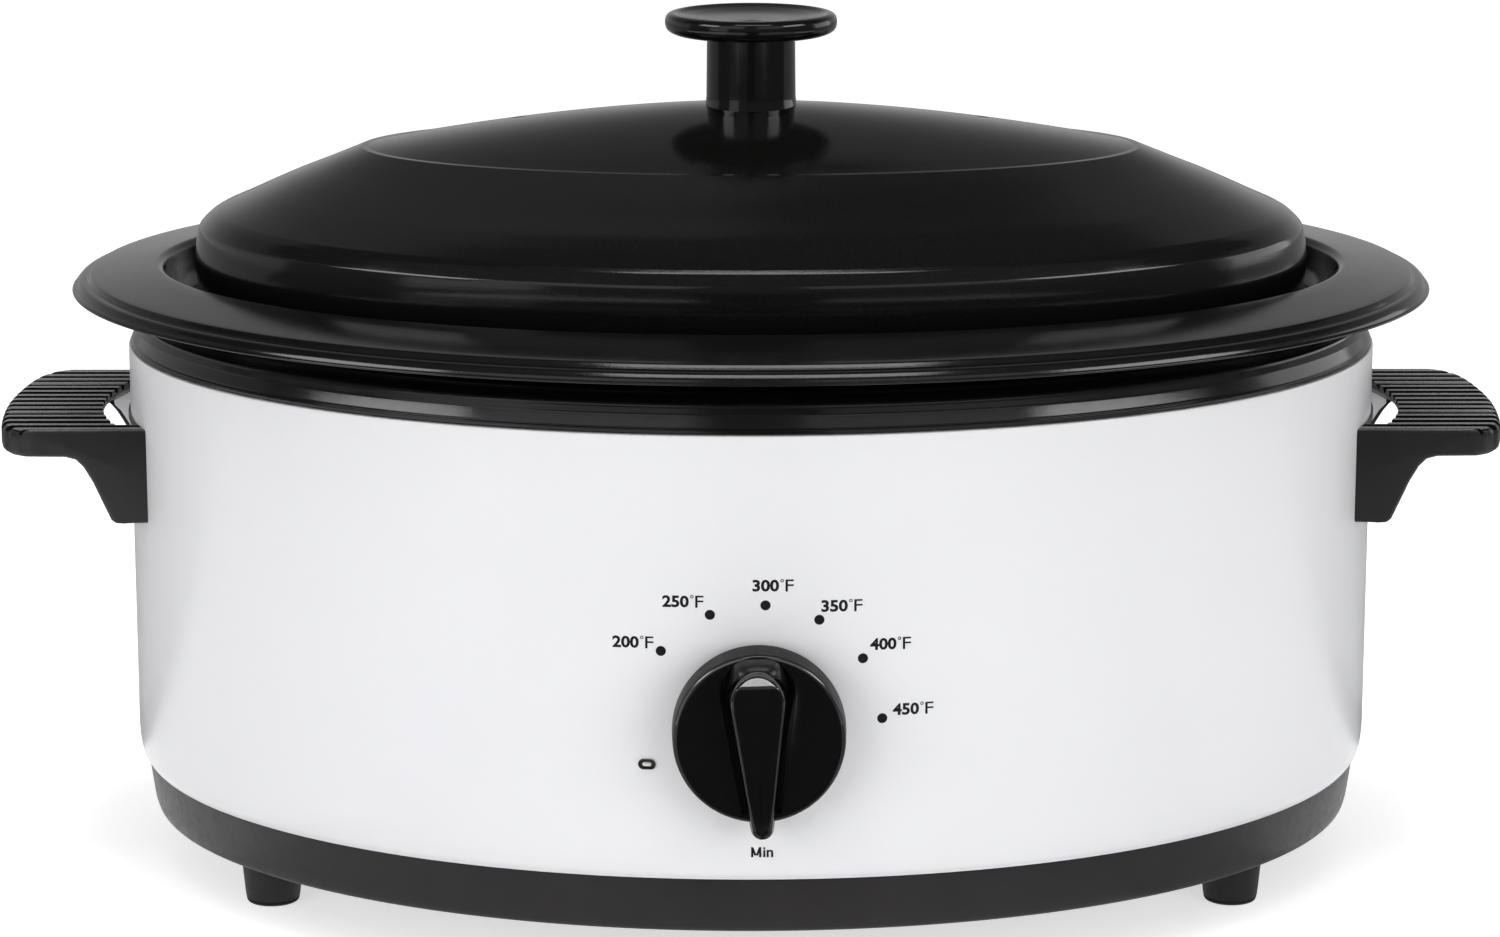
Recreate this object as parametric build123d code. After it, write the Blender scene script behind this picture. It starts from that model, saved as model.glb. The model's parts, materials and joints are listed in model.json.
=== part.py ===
"""Electric roaster oven: an oval heating body with a lift-out cookwell and a lift-off lid.

Millimetres, +Z up. Everything is drawn about the ovals' common axis, with z = 0 on the
table under the feet, and save() then shifts it so that the origin is at the middle of
the bounding box's base. Left and right are as seen from the front, and the front is -Y.
"""
from build123d import *
import math
import os

# Outer casing: half length, half depth, and the heights of its visible edges
SHELL_A = 182.0
SHELL_B = 144.7
SHELL_BOTTOM = 30.2
SHELL_TOP = 153.2
SHEET = 0.8

# Liner: the black rim band over the casing's top, and the fixed inner pan
BAND_TOP = 162.9
LINER_A = 161.5
LINER_B = 109.0
LINER_FLOOR = 37.0

# Cookwell: the lift-out pan, its rim and the recess that the lid lies in
RIM_A = 198.2
RIM_B = 157.65
RIM_EDGE = 168.2
RIM_CREST = 176.0
WELL_A = 156.1
WELL_B = 103.6
WELL_FLOOR = 43.0
ENAMEL = 0.9
RECESS_A = 171.3
RECESS_B = 118.7

# Lid
LID_A = 162.5
LID_B = 110.0
LID_CREASE_A = 113.5
LID_CREASE_B = 59.1
LID_CREASE = 209.1
LID_TOP = 221.5
LID_SHEET = 1.0
STEAM_HOLE_X = 68.0
STEAM_HOLE_Y = 14.0
STEAM_HOLE_R = 1.6

# Lid knob
GRIP_R = 25.0
GRIP_TOP = 248.0
POST_R = 12.9
POST_BOTTOM = 220.3
LID_SCREW_R = 2.5

# Base pan and feet
BASE_BOTTOM = 14.0
BASE_WALL = 2.6
FOOT_X = 137.5
FOOT_Y = 65.5
FOOT_TOP_R = 8.9
FOOT_BOTTOM_R = 7.6

# Side handles: a ribbed plate on two arms, clear of the hot casing between the arms
HANDLE_REACH = 218.9
HANDLE_HALF = 44.8
HANDLE_TOP = 133.5
HANDLE_PLATE = 7.8
HANDLE_ARM = 8.0
HANDLE_FOOT = 106.2
HANDLE_GAP_R = 93.0
HANDLE_GAP_X = 190.3
RIB_COUNT = 14
RIB_DEPTH = 1.2
HANDLE_SCREW_Y = 40.8
HANDLE_SCREW_Z = 116.0

# Control knob, its shaft and the thermostat behind it
DIAL_X = 1.6
DIAL_Z = 74.1
KNOB_R = 22.9
KNOB_FACE = 14.7
KNOB_BACK = 2.5
KNOB_REACH = 25.0
KNOB_TILT = 1.9
HEAD_R = 7.6
HEAD_UP = 12.5
TIP_R = 2.8
TIP_DOWN = 24.5
SHAFT_R = 3.0
SHAFT_RUN = 0.05
BODY_HALF = 16.0
BODY_FRONT = 12.5
BODY_BACK = 28.0
BRACKET_HALF = 26.0
BRACKET_HIGH = 9.0

# Pilot light
PILOT_X = -28.5
PILOT_Z = 62.8
PILOT_LONG = 4.4
PILOT_HIGH = 2.65

# Cord bushing in the rear wall
CORD_Z = 52.0
CORD_R = 4.2
BUSHING_R = 6.5

# Heater and insulation round the liner, with a window for the thermostat in front
HEATER_LOW = 58.0
HEATER_HIGH = 104.0
WINDOW_HALF = 42.0

# Inner wires
LEAD_R = 1.4
FINE_LEAD_R = 0.6
JOINT_Z = 122.0
TERMINAL_X = DIAL_X - BODY_HALF

# Studs between liner, shield and base
STUD_X = 70.0
STUD_R = 2.5
SHIELD_Z = 25.0

# Rack wires
RACK_A = 118.0
RACK_B = 68.0
RACK_Z = 55.0
WIRE_R = 2.0

# The knob reaches further forward than the rim reaches back, so the box's middle is here
AXIS_Y = (SHELL_B + KNOB_REACH - RIM_B) / 2


def oval(half_length, half_depth, z):
    """Flat oval face at height z."""
    return (Pos(0, 0, z) * Ellipse(half_length, half_depth)).face()


def stack(rings):
    """Solid through ovals, each given as half length, half depth and height."""
    return loft([oval(*ring) for ring in rings], ruled=True)


def inset(half_length, half_depth, steps):
    """Rings that stand in from one oval, each given as a distance and a height."""
    return [(half_length - step, half_depth - step, z) for step, z in steps]


def disc(x, y, z_low, z_high, radius):
    """Upright round solid between two heights."""
    return Pos(x, y, z_low) * extrude(Circle(radius), z_high - z_low)


def block(low, high):
    """Box between two corners."""
    size = [b - a for a, b in zip(low, high)]
    return Pos(*low) * Box(*size, align=Align.MIN)


def pin_along_y(x, z, y_low, y_high, radius):
    """Round solid along Y."""
    return Pos(x, y_high, z) * Rot(90, 0, 0) * extrude(Circle(radius), y_high - y_low)


def pin_along_x(y, z, x_low, x_high, radius):
    """Round solid along X."""
    return Pos(x_low, y, z) * Rot(0, 90, 0) * extrude(Circle(radius), x_high - x_low)


def front_of(half_length, half_depth, x):
    """Y of an upright oval wall's front at x."""
    return -half_depth * math.sqrt(1 - (x / half_length) ** 2)


def side_of(half_length, half_depth, y):
    """X of an upright oval wall's right side at y."""
    return half_length * math.sqrt(1 - (y / half_depth) ** 2)


def spun(profile):
    """Solid of revolution about Z from radius and height points."""
    face = make_face(Polyline(*[(r, 0, z) for r, z in profile], close=True))
    return revolve(face, Axis.Z)


def group(shapes):
    """Several separate solids as one sub-part."""
    return Compound([solid for shape in shapes for solid in shape.solids()])


def save(name, shape):
    """Write one sub-part, moved from the ovals' axis to the middle of the box."""
    export_step(Pos(0, AXIS_Y, 0) * shape, f"parts/{name}.step")


# ---- Casing -------------------------------------------------------------------------

def shell_steps():
    """Outline of the casing wall: distance in from its widest oval, and height."""
    return [(2.2, SHELL_BOTTOM), (0.7, SHELL_BOTTOM + 2.4), (0, SHELL_BOTTOM + 6.8),
            (0, SHELL_TOP - 4.6), (0.5, SHELL_TOP - 2.4), (1.4, SHELL_TOP - 0.8),
            (2.8, SHELL_TOP), (2.8, BAND_TOP - SHEET)]


def shell_solid():
    """The casing as if it were filled."""
    return stack(inset(SHELL_A, SHELL_B, shell_steps()))


def outer_shell():
    steps = shell_steps()
    inner = [(steps[0][0], SHELL_BOTTOM - 1), *steps[:-1], (steps[-1][0], BAND_TOP + 1)]
    shell = shell_solid() - stack(inset(SHELL_A - SHEET, SHELL_B - SHEET, inner))
    front, back = -SHELL_B - 5, SHELL_B + 5
    shell -= pin_along_y(DIAL_X, DIAL_Z, front, front + 15, 5)
    slot = extrude(SlotOverall(PILOT_LONG, PILOT_HIGH), 15)
    shell -= Pos(PILOT_X, front + 15, PILOT_Z) * Rot(90, 0, 0) * slot
    shell -= pin_along_y(0, CORD_Z, back - 15, back, BUSHING_R)
    for side in (-1, 1):
        for y in (-HANDLE_SCREW_Y, HANDLE_SCREW_Y):
            low, high = sorted((side * (SHELL_A - 20), side * (SHELL_A + 5)))
            shell -= pin_along_x(y, HANDLE_SCREW_Z, low, high, 2.2)
    return shell


def liner():
    """Fixed inner pan and the rim band that folds down over the casing's top."""
    band = [(1.3, SHELL_TOP), (1.0, SHELL_TOP + 3), (1.0, SHELL_TOP + 6), (1.4, BAND_TOP - 1.6),
            (2.2, BAND_TOP - 0.4), (3.4, BAND_TOP)]
    under = [(2.1, SHELL_TOP - 1), (2.1, BAND_TOP - SHEET)]
    rim = stack(inset(SHELL_A, SHELL_B, band)) - stack(inset(SHELL_A, SHELL_B, under))
    wall = [(14, LINER_FLOOR), (8, LINER_FLOOR + 1.6), (3.2, LINER_FLOOR + 5.4),
            (0.8, LINER_FLOOR + 11), (0, LINER_FLOOR + 15), (0, BAND_TOP + 1)]
    outside = [(step, z - SHEET) for step, z in wall[:-1]] + [(0, BAND_TOP - SHEET / 2)]
    pan = stack(inset(LINER_A + SHEET, LINER_B + SHEET, outside))
    return rim + pan - stack(inset(LINER_A, LINER_B, wall))


def base_pan():
    """Moulded base: floor, outer wall and an upstand that the casing's edge fits round."""
    outside = [(7.4, BASE_BOTTOM), (5.4, BASE_BOTTOM + 0.9), (4.4, BASE_BOTTOM + 2.8),
               (3.5, BASE_BOTTOM + 8.0), (2.4, SHELL_BOTTOM)]
    pan = stack(inset(SHELL_A, SHELL_B, outside))
    upstand = SHELL_BOTTOM + 6
    pan += stack(inset(SHELL_A, SHELL_B, [(3.4, SHELL_BOTTOM - 1), (3.4, upstand)]))
    floor = BASE_BOTTOM + BASE_WALL
    inside = [(4.2 + BASE_WALL, floor), (3.4 + BASE_WALL, floor + 4), (3.4 + BASE_WALL, upstand + 1)]
    pan -= stack(inset(SHELL_A, SHELL_B, inside))
    for x, y in foot_places().values():
        pan -= disc(x, y, BASE_BOTTOM - 1, floor + 1, 1.9)
    for x in (-STUD_X, STUD_X):
        pan -= disc(x, 0, BASE_BOTTOM - 1, floor + 1, STUD_R + 0.2)
    return pan


def foot_places():
    return {"foot_front_left": (-FOOT_X, -FOOT_Y), "foot_front_right": (FOOT_X, -FOOT_Y),
            "foot_rear_left": (-FOOT_X, FOOT_Y), "foot_rear_right": (FOOT_X, FOOT_Y)}


def foot(x, y):
    """Tapered foot with a blind hole for its screw."""
    profile = [(0, 0), (FOOT_BOTTOM_R - 1.2, 0), (FOOT_BOTTOM_R - 0.35, 0.35), (FOOT_BOTTOM_R, 1.2),
               (FOOT_TOP_R, BASE_BOTTOM), (1.7, BASE_BOTTOM), (1.7, 4), (0, 4)]
    return Pos(x, y, 0) * spun(profile)


def foot_screws():
    """Pan-head screws that go down through the base floor into the feet."""
    floor = BASE_BOTTOM + BASE_WALL
    screws = [disc(x, y, 5, floor + 1, 1.6) + disc(x, y, floor, floor + 2.2, 3.2)
              for x, y in foot_places().values()]
    return group(screws)


def studs_on_axis(z_low, z_high, radius, bore=0.0):
    """A pair of round solids on the two stud axes, with a bore or without."""
    pair = []
    for x in (-STUD_X, STUD_X):
        body = disc(x, 0, z_low, z_high, radius)
        if bore:
            body -= disc(x, 0, z_low - 1, z_high + 1, bore)
        pair.append(body)
    return pair


def stud_nuts():
    """Hexagon nuts under the base."""
    nuts = []
    for x in (-STUD_X, STUD_X):
        nut = Pos(x, 0, BASE_BOTTOM - 4.8) * extrude(RegularPolygon(4.6, 6), 4)
        nuts.append(nut - disc(x, 0, 0, BASE_BOTTOM, STUD_R))
    return group(nuts)


def heat_shield():
    """Bright plate with a turned-up edge between the hot liner floor and the base."""
    plate = stack([(146, 100, SHIELD_Z), (148, 102, SHIELD_Z + 2), (148, 102, SHIELD_Z + 5)])
    plate -= stack([(145, 99, SHIELD_Z + 0.6), (147.4, 101.4, SHIELD_Z + 2.2),
                    (147.4, 101.4, SHIELD_Z + 6)])
    for x in (-STUD_X, STUD_X):
        plate -= disc(x, 0, SHIELD_Z - 1, SHIELD_Z + 2, STUD_R + 0.2)
    return plate


# ---- Cookwell, rack and lid ---------------------------------------------------------

def cookwell():
    """Lift-out pan: deep tub, ledge on the liner's rim, lid recess and drooping rim."""
    ledge = BAND_TOP + ENAMEL
    umbrella = [(RIM_A - 0.5, RIM_B - 0.5, RIM_EDGE), (RIM_A, RIM_B, RIM_EDGE + 0.9),
                (RIM_A - 0.7, RIM_B - 0.8, RIM_EDGE + 2.2), (RIM_A - 2.6, RIM_B - 3.4, RIM_EDGE + 3.5),
                (RIM_A - 5.5, RIM_B - 7.4, RIM_EDGE + 4.7), (RIM_A - 10, RIM_B - 14, RIM_EDGE + 5.9),
                (RIM_A - 16, RIM_B - 23, RIM_EDGE + 7.0), (RECESS_A + 4.5, RECESS_B + 7, RIM_CREST - 0.2),
                (RECESS_A + 1.6, RECESS_B + 1.8, RIM_CREST)]
    hollow = [(RIM_A - 1.6, RIM_B - 1.6, RIM_EDGE - 1), (RIM_A - 1.6, RIM_B - 1.8, RIM_EDGE + 1.0),
              (RIM_A - 3.5, RIM_B - 4.3, RIM_EDGE + 2.5), (RIM_A - 6.2, RIM_B - 8.2, RIM_EDGE + 3.7),
              (RIM_A - 16.5, RIM_B - 23.6, RIM_EDGE + 6.1), (RECESS_A + 3, RECESS_B + 4, RIM_CREST - 1)]
    recess_out = [(RECESS_A - 2.6, RECESS_B - 2.6, BAND_TOP),
                  (RECESS_A - 1.2, RECESS_B - 1.2, BAND_TOP + 1.4),
                  (RECESS_A + 0.4, RECESS_B + 0.4, RIM_CREST - 5),
                  (RECESS_A + 1.4, RECESS_B + 1.4, RIM_CREST - 0.5)]
    recess_in = [(RECESS_A - 4.0, RECESS_B - 4.0, ledge), (RECESS_A - 2.2, RECESS_B - 2.2, ledge + 1.4),
                 (RECESS_A - 0.6, RECESS_B - 0.6, RIM_CREST - 4), (RECESS_A, RECESS_B, RIM_CREST - 0.7),
                 (RECESS_A + 0.8, RECESS_B + 0.8, RIM_CREST + 0.1)]
    tub_in = [(13.7, WELL_FLOOR + ENAMEL), (8.3, WELL_FLOOR + 2.4), (4.6, WELL_FLOOR + 6.2),
              (3.0, WELL_FLOOR + 12.3), (0, BAND_TOP - 4), (-1.3, BAND_TOP - 0.9), (-3.4, ledge + 0.01)]
    tub_out = [(13.1, WELL_FLOOR), (7.6, WELL_FLOOR + 1.6), (3.8, WELL_FLOOR + 5.6),
               (2.1, WELL_FLOOR + 12), (-0.9, BAND_TOP - 4.4), (-2.2, BAND_TOP - 1.6), (-4.9, BAND_TOP)]
    pan = stack(umbrella) - stack(hollow)
    pan += stack(recess_out) + stack(inset(WELL_A, WELL_B, tub_out))
    return pan - stack(recess_in) - stack(inset(WELL_A, WELL_B, tub_in))


def cooking_rack():
    """Oval wire rack: a ring, lengthwise wires under it, and short feet on the floor."""
    ring = stack([(RACK_A + WIRE_R, RACK_B + WIRE_R, RACK_Z - WIRE_R),
                  (RACK_A + WIRE_R, RACK_B + WIRE_R, RACK_Z + WIRE_R)])
    ring -= stack([(RACK_A - WIRE_R, RACK_B - WIRE_R, RACK_Z - WIRE_R - 1),
                   (RACK_A - WIRE_R, RACK_B - WIRE_R, RACK_Z + WIRE_R + 1)])
    rack = ring
    spacing = 2 * RACK_B / 8
    for number in range(1, 8):
        y = -RACK_B + number * spacing
        reach = side_of(RACK_A, RACK_B, y)
        rack += pin_along_x(y, RACK_Z, -reach, reach, WIRE_R * 0.75)
    for x in (-60, 60):
        reach = -front_of(RACK_A, RACK_B, x)
        rack += pin_along_y(x, RACK_Z - 1, -reach, reach, WIRE_R * 0.75)
        for y in (-reach, reach):
            rack += disc(x, y, WELL_FLOOR + ENAMEL + 0.05, RACK_Z, WIRE_R)
    return rack


def lid_rings(drop=0.0, shrink=0.0):
    """Lid outline from its lower edge to the dome, lowered and drawn in as asked."""
    seat = BAND_TOP + ENAMEL
    edge = [(1.5, seat), (0.6, seat + 8), (0, 184.5), (0.3, 187.3), (1.2, 189.8), (3.0, 191.9),
            (6.0, 193.5), (27.5, 201.9), (48.2, LID_CREASE - 0.2)]
    rings = inset(LID_A, LID_B, edge)
    rise = LID_TOP - LID_CREASE
    for part in (1.0, 0.9, 0.76, 0.6, 0.42, 0.24):
        rings.append((LID_CREASE_A * part, LID_CREASE_B * part, LID_CREASE + rise * (1 - part ** 2)))
    return [(a - shrink, b - shrink, z - drop) for a, b, z in rings]


def lid_shell():
    hollow = lid_rings(LID_SHEET, LID_SHEET)
    lid = stack(lid_rings()) - stack(hollow)
    for x in (-STEAM_HOLE_X, STEAM_HOLE_X):
        lid -= disc(x, STEAM_HOLE_Y, LID_CREASE, LID_TOP + 1, STEAM_HOLE_R)
    return lid - disc(0, 0, LID_CREASE, LID_TOP + 1, LID_SCREW_R + 0.1)


def lid_knob():
    """Post with a wide dished disc, bored from below for its screw."""
    profile = [(LID_SCREW_R, POST_BOTTOM), (POST_R, POST_BOTTOM), (POST_R, 240.8), (18, 241.4),
               (22.2, 242.6), (24.3, 244.2), (GRIP_R, 245.7), (24.4, 247.2), (23, GRIP_TOP),
               (21.5, GRIP_TOP - 0.4), (15, 246.2), (0, 245.6), (0, 236), (LID_SCREW_R, 236)]
    return spun(profile) - stack(lid_rings())


def lid_knob_washer():
    ceiling = LID_TOP - 2.3
    washer = disc(0, 0, ceiling - 1.2, ceiling, 7)
    return washer - disc(0, 0, ceiling - 2, ceiling + 1, LID_SCREW_R + 0.1)


def lid_knob_screw():
    head = LID_TOP - 3.5
    return disc(0, 0, head - 2.4, head, 4.4) + disc(0, 0, head - 1, 235.5, LID_SCREW_R)


# ---- Handles ------------------------------------------------------------------------

def handle(side):
    """Side handle for side +1 (right) or -1 (left)."""
    corner_x, corner_y = 215.2, 36.0
    outline = [Line((150, -HANDLE_HALF), (206.6, -HANDLE_HALF)),
               ThreePointArc((206.6, -HANDLE_HALF), (213.0, -42.2), (corner_x, -corner_y)),
               ThreePointArc((corner_x, -corner_y), (HANDLE_REACH, 0), (corner_x, corner_y)),
               ThreePointArc((corner_x, corner_y), (213.0, 42.2), (206.6, HANDLE_HALF)),
               Line((206.6, HANDLE_HALF), (150, HANDLE_HALF)),
               Line((150, HANDLE_HALF), (150, -HANDLE_HALF))]
    plate = Pos(0, 0, HANDLE_TOP - HANDLE_PLATE) * extrude(make_face(outline), HANDLE_PLATE)
    under = HANDLE_TOP - HANDLE_PLATE
    arm_side = Polyline((150, 0, under + 1), (200, 0, under + 1), (194.6, 0, under), (192.2, 0, 124.6),
                        (190.4, 0, 122.2), (183.7, 0, HANDLE_FOOT + 0.9), (180, 0, HANDLE_FOOT),
                        (150, 0, HANDLE_FOOT), close=True)
    arm = extrude(make_face(arm_side), HANDLE_ARM, dir=(0, 1, 0))
    inner = HANDLE_HALF - HANDLE_ARM
    gap = Pos(HANDLE_GAP_X - HANDLE_GAP_R, 0, 0) * Cylinder(HANDLE_GAP_R, 400)
    gap = gap & block((100, -inner, 0), (230, inner, 200))
    body = plate + Pos(0, inner, 0) * arm + Pos(0, -HANDLE_HALF, 0) * arm - gap
    pitch = 2 * HANDLE_HALF / RIB_COUNT
    for number in range(1, RIB_COUNT):
        y = -HANDLE_HALF + number * pitch
        body -= block((181, y - 1.1, HANDLE_TOP - RIB_DEPTH), (230, y + 1.1, HANDLE_TOP + 1))
    body -= stack([(SHELL_A + 0.05, SHELL_B + 0.05, 90), (SHELL_A + 0.05, SHELL_B + 0.05, 140)])
    for y in (-HANDLE_SCREW_Y, HANDLE_SCREW_Y):
        body -= pin_along_x(y, HANDLE_SCREW_Z, 150, 183, 1.75)
    return body if side > 0 else mirror(body, about=Plane.YZ)


def handle_screws(side):
    """Two screws from inside the casing into the handle's arms."""
    screws = []
    for y in (-HANDLE_SCREW_Y, HANDLE_SCREW_Y):
        wall = side_of(SHELL_A - SHEET, SHELL_B - SHEET, abs(y) + 3.4)
        screw = pin_along_x(y, HANDLE_SCREW_Z, wall - 2.2, wall, 3.4)
        screw += pin_along_x(y, HANDLE_SCREW_Z, wall - 1, 182, 1.7)
        screws.append(screw if side > 0 else mirror(screw, about=Plane.YZ))
    return group(screws)


# ---- Control knob and thermostat ----------------------------------------------------

def at_dial(shape):
    """From knob axes (Z out of the casing, Y up) to the front of the casing."""
    return Pos(DIAL_X, -SHELL_B, DIAL_Z) * Rot(90, 0, 0) * shape


def teardrop(grow=0.0):
    """Grip outline: a round head above, a narrow tip below, joined by tangents."""
    head = Pos(0, HEAD_UP) * Circle(HEAD_R + grow)
    tip = Pos(0, -TIP_DOWN) * Circle(TIP_R + grow)
    return make_hull(head.edges() + tip.edges())


def control_knob():
    """Disc with finger hollows each side of a raised grip that ends in the pointer."""
    profile = [(0, 4), (6.5, 4), (6.5, 7), (KNOB_R - 2.2, 7), (KNOB_R - 2.2, KNOB_BACK),
               (KNOB_R - 0.3, KNOB_BACK), (KNOB_R, KNOB_BACK + 0.6), (KNOB_R - 0.4, KNOB_FACE - 1.8),
               (KNOB_R - 1.3, KNOB_FACE - 0.4), (KNOB_R - 2.6, KNOB_FACE), (0, KNOB_FACE)]
    disc_part = spun(profile)
    hollow = Pos(0, 0, KNOB_FACE - 4.5) * extrude(teardrop(2.6), 12)
    low, high = KNOB_FACE - 6, KNOB_REACH
    grip = loft([Pos(0, 0, low) * teardrop(0.4), Pos(0, 0, high) * teardrop(-0.6)], ruled=True)
    side = Polyline((0, 40, 0), (0, 40, 40), (0, -40, 40), (0, -40, 15.5), (0, 8, KNOB_REACH),
                    (0, 16, KNOB_REACH - 0.6), (0, 21.5, KNOB_FACE), (0, 24, 0), close=True)
    slope = extrude(make_face(side), 20, both=True)
    knob = disc_part - hollow + (grip - slope) - disc(0, 0, 0, 12, SHAFT_R)
    return at_dial(Rot(0, 0, KNOB_TILT) * knob)


def thermostat_shaft():
    """Round shaft from inside the thermostat to the knob's bore, with a driving flat."""
    shaft = Pos(0, 0, -18) * extrude(Circle(SHAFT_R), 29.5)
    flat = block((-4, 1.5, 4), (4, 5, 13))
    return at_dial(Rot(0, 0, KNOB_TILT) * (shaft - flat))


def knob_clip():
    """Spring strip that fills the space between the shaft's flat and the bore."""
    strip = block((-1.7, 1.5, 5), (1.7, 2.4, 11))
    return at_dial(Rot(0, 0, KNOB_TILT) * strip)


def thermostat_body():
    """Ceramic block with a short threaded bush that carries the shaft."""
    body = block((-BODY_HALF, -15, -BODY_BACK), (BODY_HALF, 15, -BODY_FRONT))
    body += Pos(0, 0, -BODY_FRONT) * extrude(Circle(4.4), 6.5)
    body -= Pos(0, 0, -19) * extrude(Circle(SHAFT_R + SHAFT_RUN), 20)
    for x in (-11, 11):
        body -= Pos(x, 0, -18) * extrude(Circle(1.6), 6)
    return at_dial(body)


def thermostat_bracket():
    """Bent strip that holds the thermostat against the liner."""
    back = LINER_B + SHEET - SHELL_B
    face = 1.2 - BODY_FRONT
    strip = block((-BRACKET_HALF, -BRACKET_HIGH, -BODY_FRONT), (BRACKET_HALF, BRACKET_HIGH, face))
    for side in (-1, 1):
        low, high = sorted((side * BRACKET_HALF, side * (BRACKET_HALF - 1.2)))
        strip += block((low, -BRACKET_HIGH, back - 4), (high, BRACKET_HIGH, face))
        low, high = sorted((side * (BRACKET_HALF - 1.2), side * (BRACKET_HALF + 8)))
        strip += block((low, -BRACKET_HIGH, back - 4), (high, BRACKET_HIGH, back + 3.4))
    strip -= Pos(0, 0, -BODY_FRONT - 1) * extrude(Circle(4.5), 4)
    for x in (-11, 11):
        strip -= Pos(x, 0, -BODY_FRONT - 1) * extrude(Circle(1.8), 4)
    inner = [(LINER_A + SHEET, LINER_B + SHEET, z) for z in (50, 100)]
    return at_dial(strip) - stack(inner)


def thermostat_screws():
    screws = []
    for x in (-11, 11):
        shank = Pos(x, 0, -17) * extrude(Circle(1.5), 6)
        head = Pos(x, 0, -BODY_FRONT + 1.2) * extrude(Circle(2.8), 2)
        screws.append(at_dial(shank + head))
    return group(screws)


def sensor_pad():
    """Aluminium pad, hollowed to the liner's curve, behind the thermostat."""
    back = LINER_B + SHEET - SHELL_B
    pad = at_dial(block((-13, -12, back - 4), (13, 12, -BODY_BACK)))
    inner = [(LINER_A + SHEET, LINER_B + SHEET, z) for z in (50, 100)]
    return pad - stack(inner)


def pilot_lens():
    """Clear plug in the casing's slot, with a flange behind it."""
    wall = front_of(SHELL_A, SHELL_B, PILOT_X)
    stub = extrude(SlotOverall(PILOT_LONG - 0.3, PILOT_HIGH - 0.3), 2.2)
    flange = extrude(SlotOverall(8, 5), 1.2)
    lens = Pos(PILOT_X, wall + 2.6, PILOT_Z) * Rot(90, 0, 0) * stub
    return lens + Pos(PILOT_X, wall + 3.2, PILOT_Z) * Rot(90, 0, 0) * flange


def pilot_holder():
    """Sleeve behind the window that grips the lamp."""
    wall = front_of(SHELL_A, SHELL_B, PILOT_X)
    sleeve = pin_along_y(PILOT_X, PILOT_Z, wall + 3.2, wall + 14, 4)
    return sleeve - pin_along_y(PILOT_X, PILOT_Z, wall + 3, wall + 15, 2.6)


def pilot_lamp():
    """Neon lamp: a short glass tube with a domed end."""
    wall = front_of(SHELL_A, SHELL_B, PILOT_X)
    tube = pin_along_y(PILOT_X, PILOT_Z, wall + 4.6, wall + 16, 2.5)
    return tube


# ---- Heater, insulation and wiring --------------------------------------------------

def wrap(gap, thick, z_low, z_high, window=WINDOW_HALF):
    """Band round the liner's wall, open over a window at the front."""
    outer_a = LINER_A + SHEET + gap + thick
    outer_b = LINER_B + SHEET + gap + thick
    ring = stack([(outer_a, outer_b, z_low), (outer_a, outer_b, z_high)])
    ring -= stack([(outer_a - thick, outer_b - thick, z_low - 1),
                   (outer_a - thick, outer_b - thick, z_high + 1)])
    return ring - block((-window, -200, 0), (window, 0, 200))


def band_heater():
    """Flat heating band with a terminal tab at each end."""
    band = wrap(0.1, 2.0, HEATER_LOW, HEATER_HIGH)
    for side in (-1, 1):
        x = side * WINDOW_HALF
        y = front_of(LINER_A + SHEET + 2, LINER_B + SHEET + 2, x)
        low, high = sorted((x - side * 1, x + side * 6))
        band += block((low, y - 8, 88), (high, y + 0.4, 89))
    return band


def lead(points, radius, bend=9.0):
    """Insulated wire along straight runs joined by round bends."""
    path = FilletPolyline(*points, radius=bend)
    start = Plane(origin=path @ 0, z_dir=path % 0)
    return sweep(start * Circle(radius), path=path)


def live_lead():
    """From the thermostat's side round the left to the splice behind."""
    return lead([(TERMINAL_X, -128, 86), (-30, -128, 86), (-54, -130, 92), (-112, -108, 112),
                 (-152, -70, 128), (-174, -18, 134), (-172, 34, 134), (-143, 80, 132), (-98, 116, 128),
                 (-58, 132, JOINT_Z)], LEAD_R)


def neutral_lead():
    """From the heater's right tab round the right to the splice behind."""
    return lead([(45, -112, 89), (45, -112, 98), (52, -118, 108), (98, -117, 116), (144, -80, 128),
                 (173, -30, 134), (173, 30, 134), (143, 80, 132), (98, 116, 128),
                 (58, 132, JOINT_Z)], LEAD_R, bend=6)


def heater_lead():
    """Short bridge from the thermostat to the heater's left tab."""
    return lead([(TERMINAL_X, -119, 86.5), (-26, -119, 86.5), (-34, -113, 88.5), (-41, -113, 88.5)],
                LEAD_R, bend=5)


def pilot_leads():
    """Two fine wires from the lamp to the thermostat's two terminals."""
    lamp_back = front_of(SHELL_A, SHELL_B, PILOT_X) + 16
    wires = []
    for side in (-1, 1):
        x, z = PILOT_X + side, PILOT_Z + side
        y = lamp_back + 6 - 2 * side
        points = [(x, lamp_back, z), (x, y - 1, z), (TERMINAL_X - 0.1, y, z - 1)]
        wires.append(lead(points, FINE_LEAD_R, bend=2))
    return group(wires)


def lead_joints():
    """Two crimped splices where the inner leads wait for the cord's wires."""
    joints = []
    for side in (-1, 1):
        joints.append(Pos(side * 38, 132, JOINT_Z) * Rot(0, -90 * side, 0) * extrude(Circle(3.6), 20))
    return group(joints)


def cord_grommet():
    """Ring in the rear wall, with a lip on each face of the sheet."""
    wall = SHELL_B
    ring = pin_along_y(0, CORD_Z, wall - 5, wall + 2.6, BUSHING_R)
    ring += pin_along_y(0, CORD_Z, wall, wall + 2.6, BUSHING_R + 2.2)
    ring += pin_along_y(0, CORD_Z, wall - 5, wall - SHEET - 0.4, BUSHING_R + 1.4)
    return ring - pin_along_y(0, CORD_Z, wall - 6, wall + 4, CORD_R)


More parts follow.
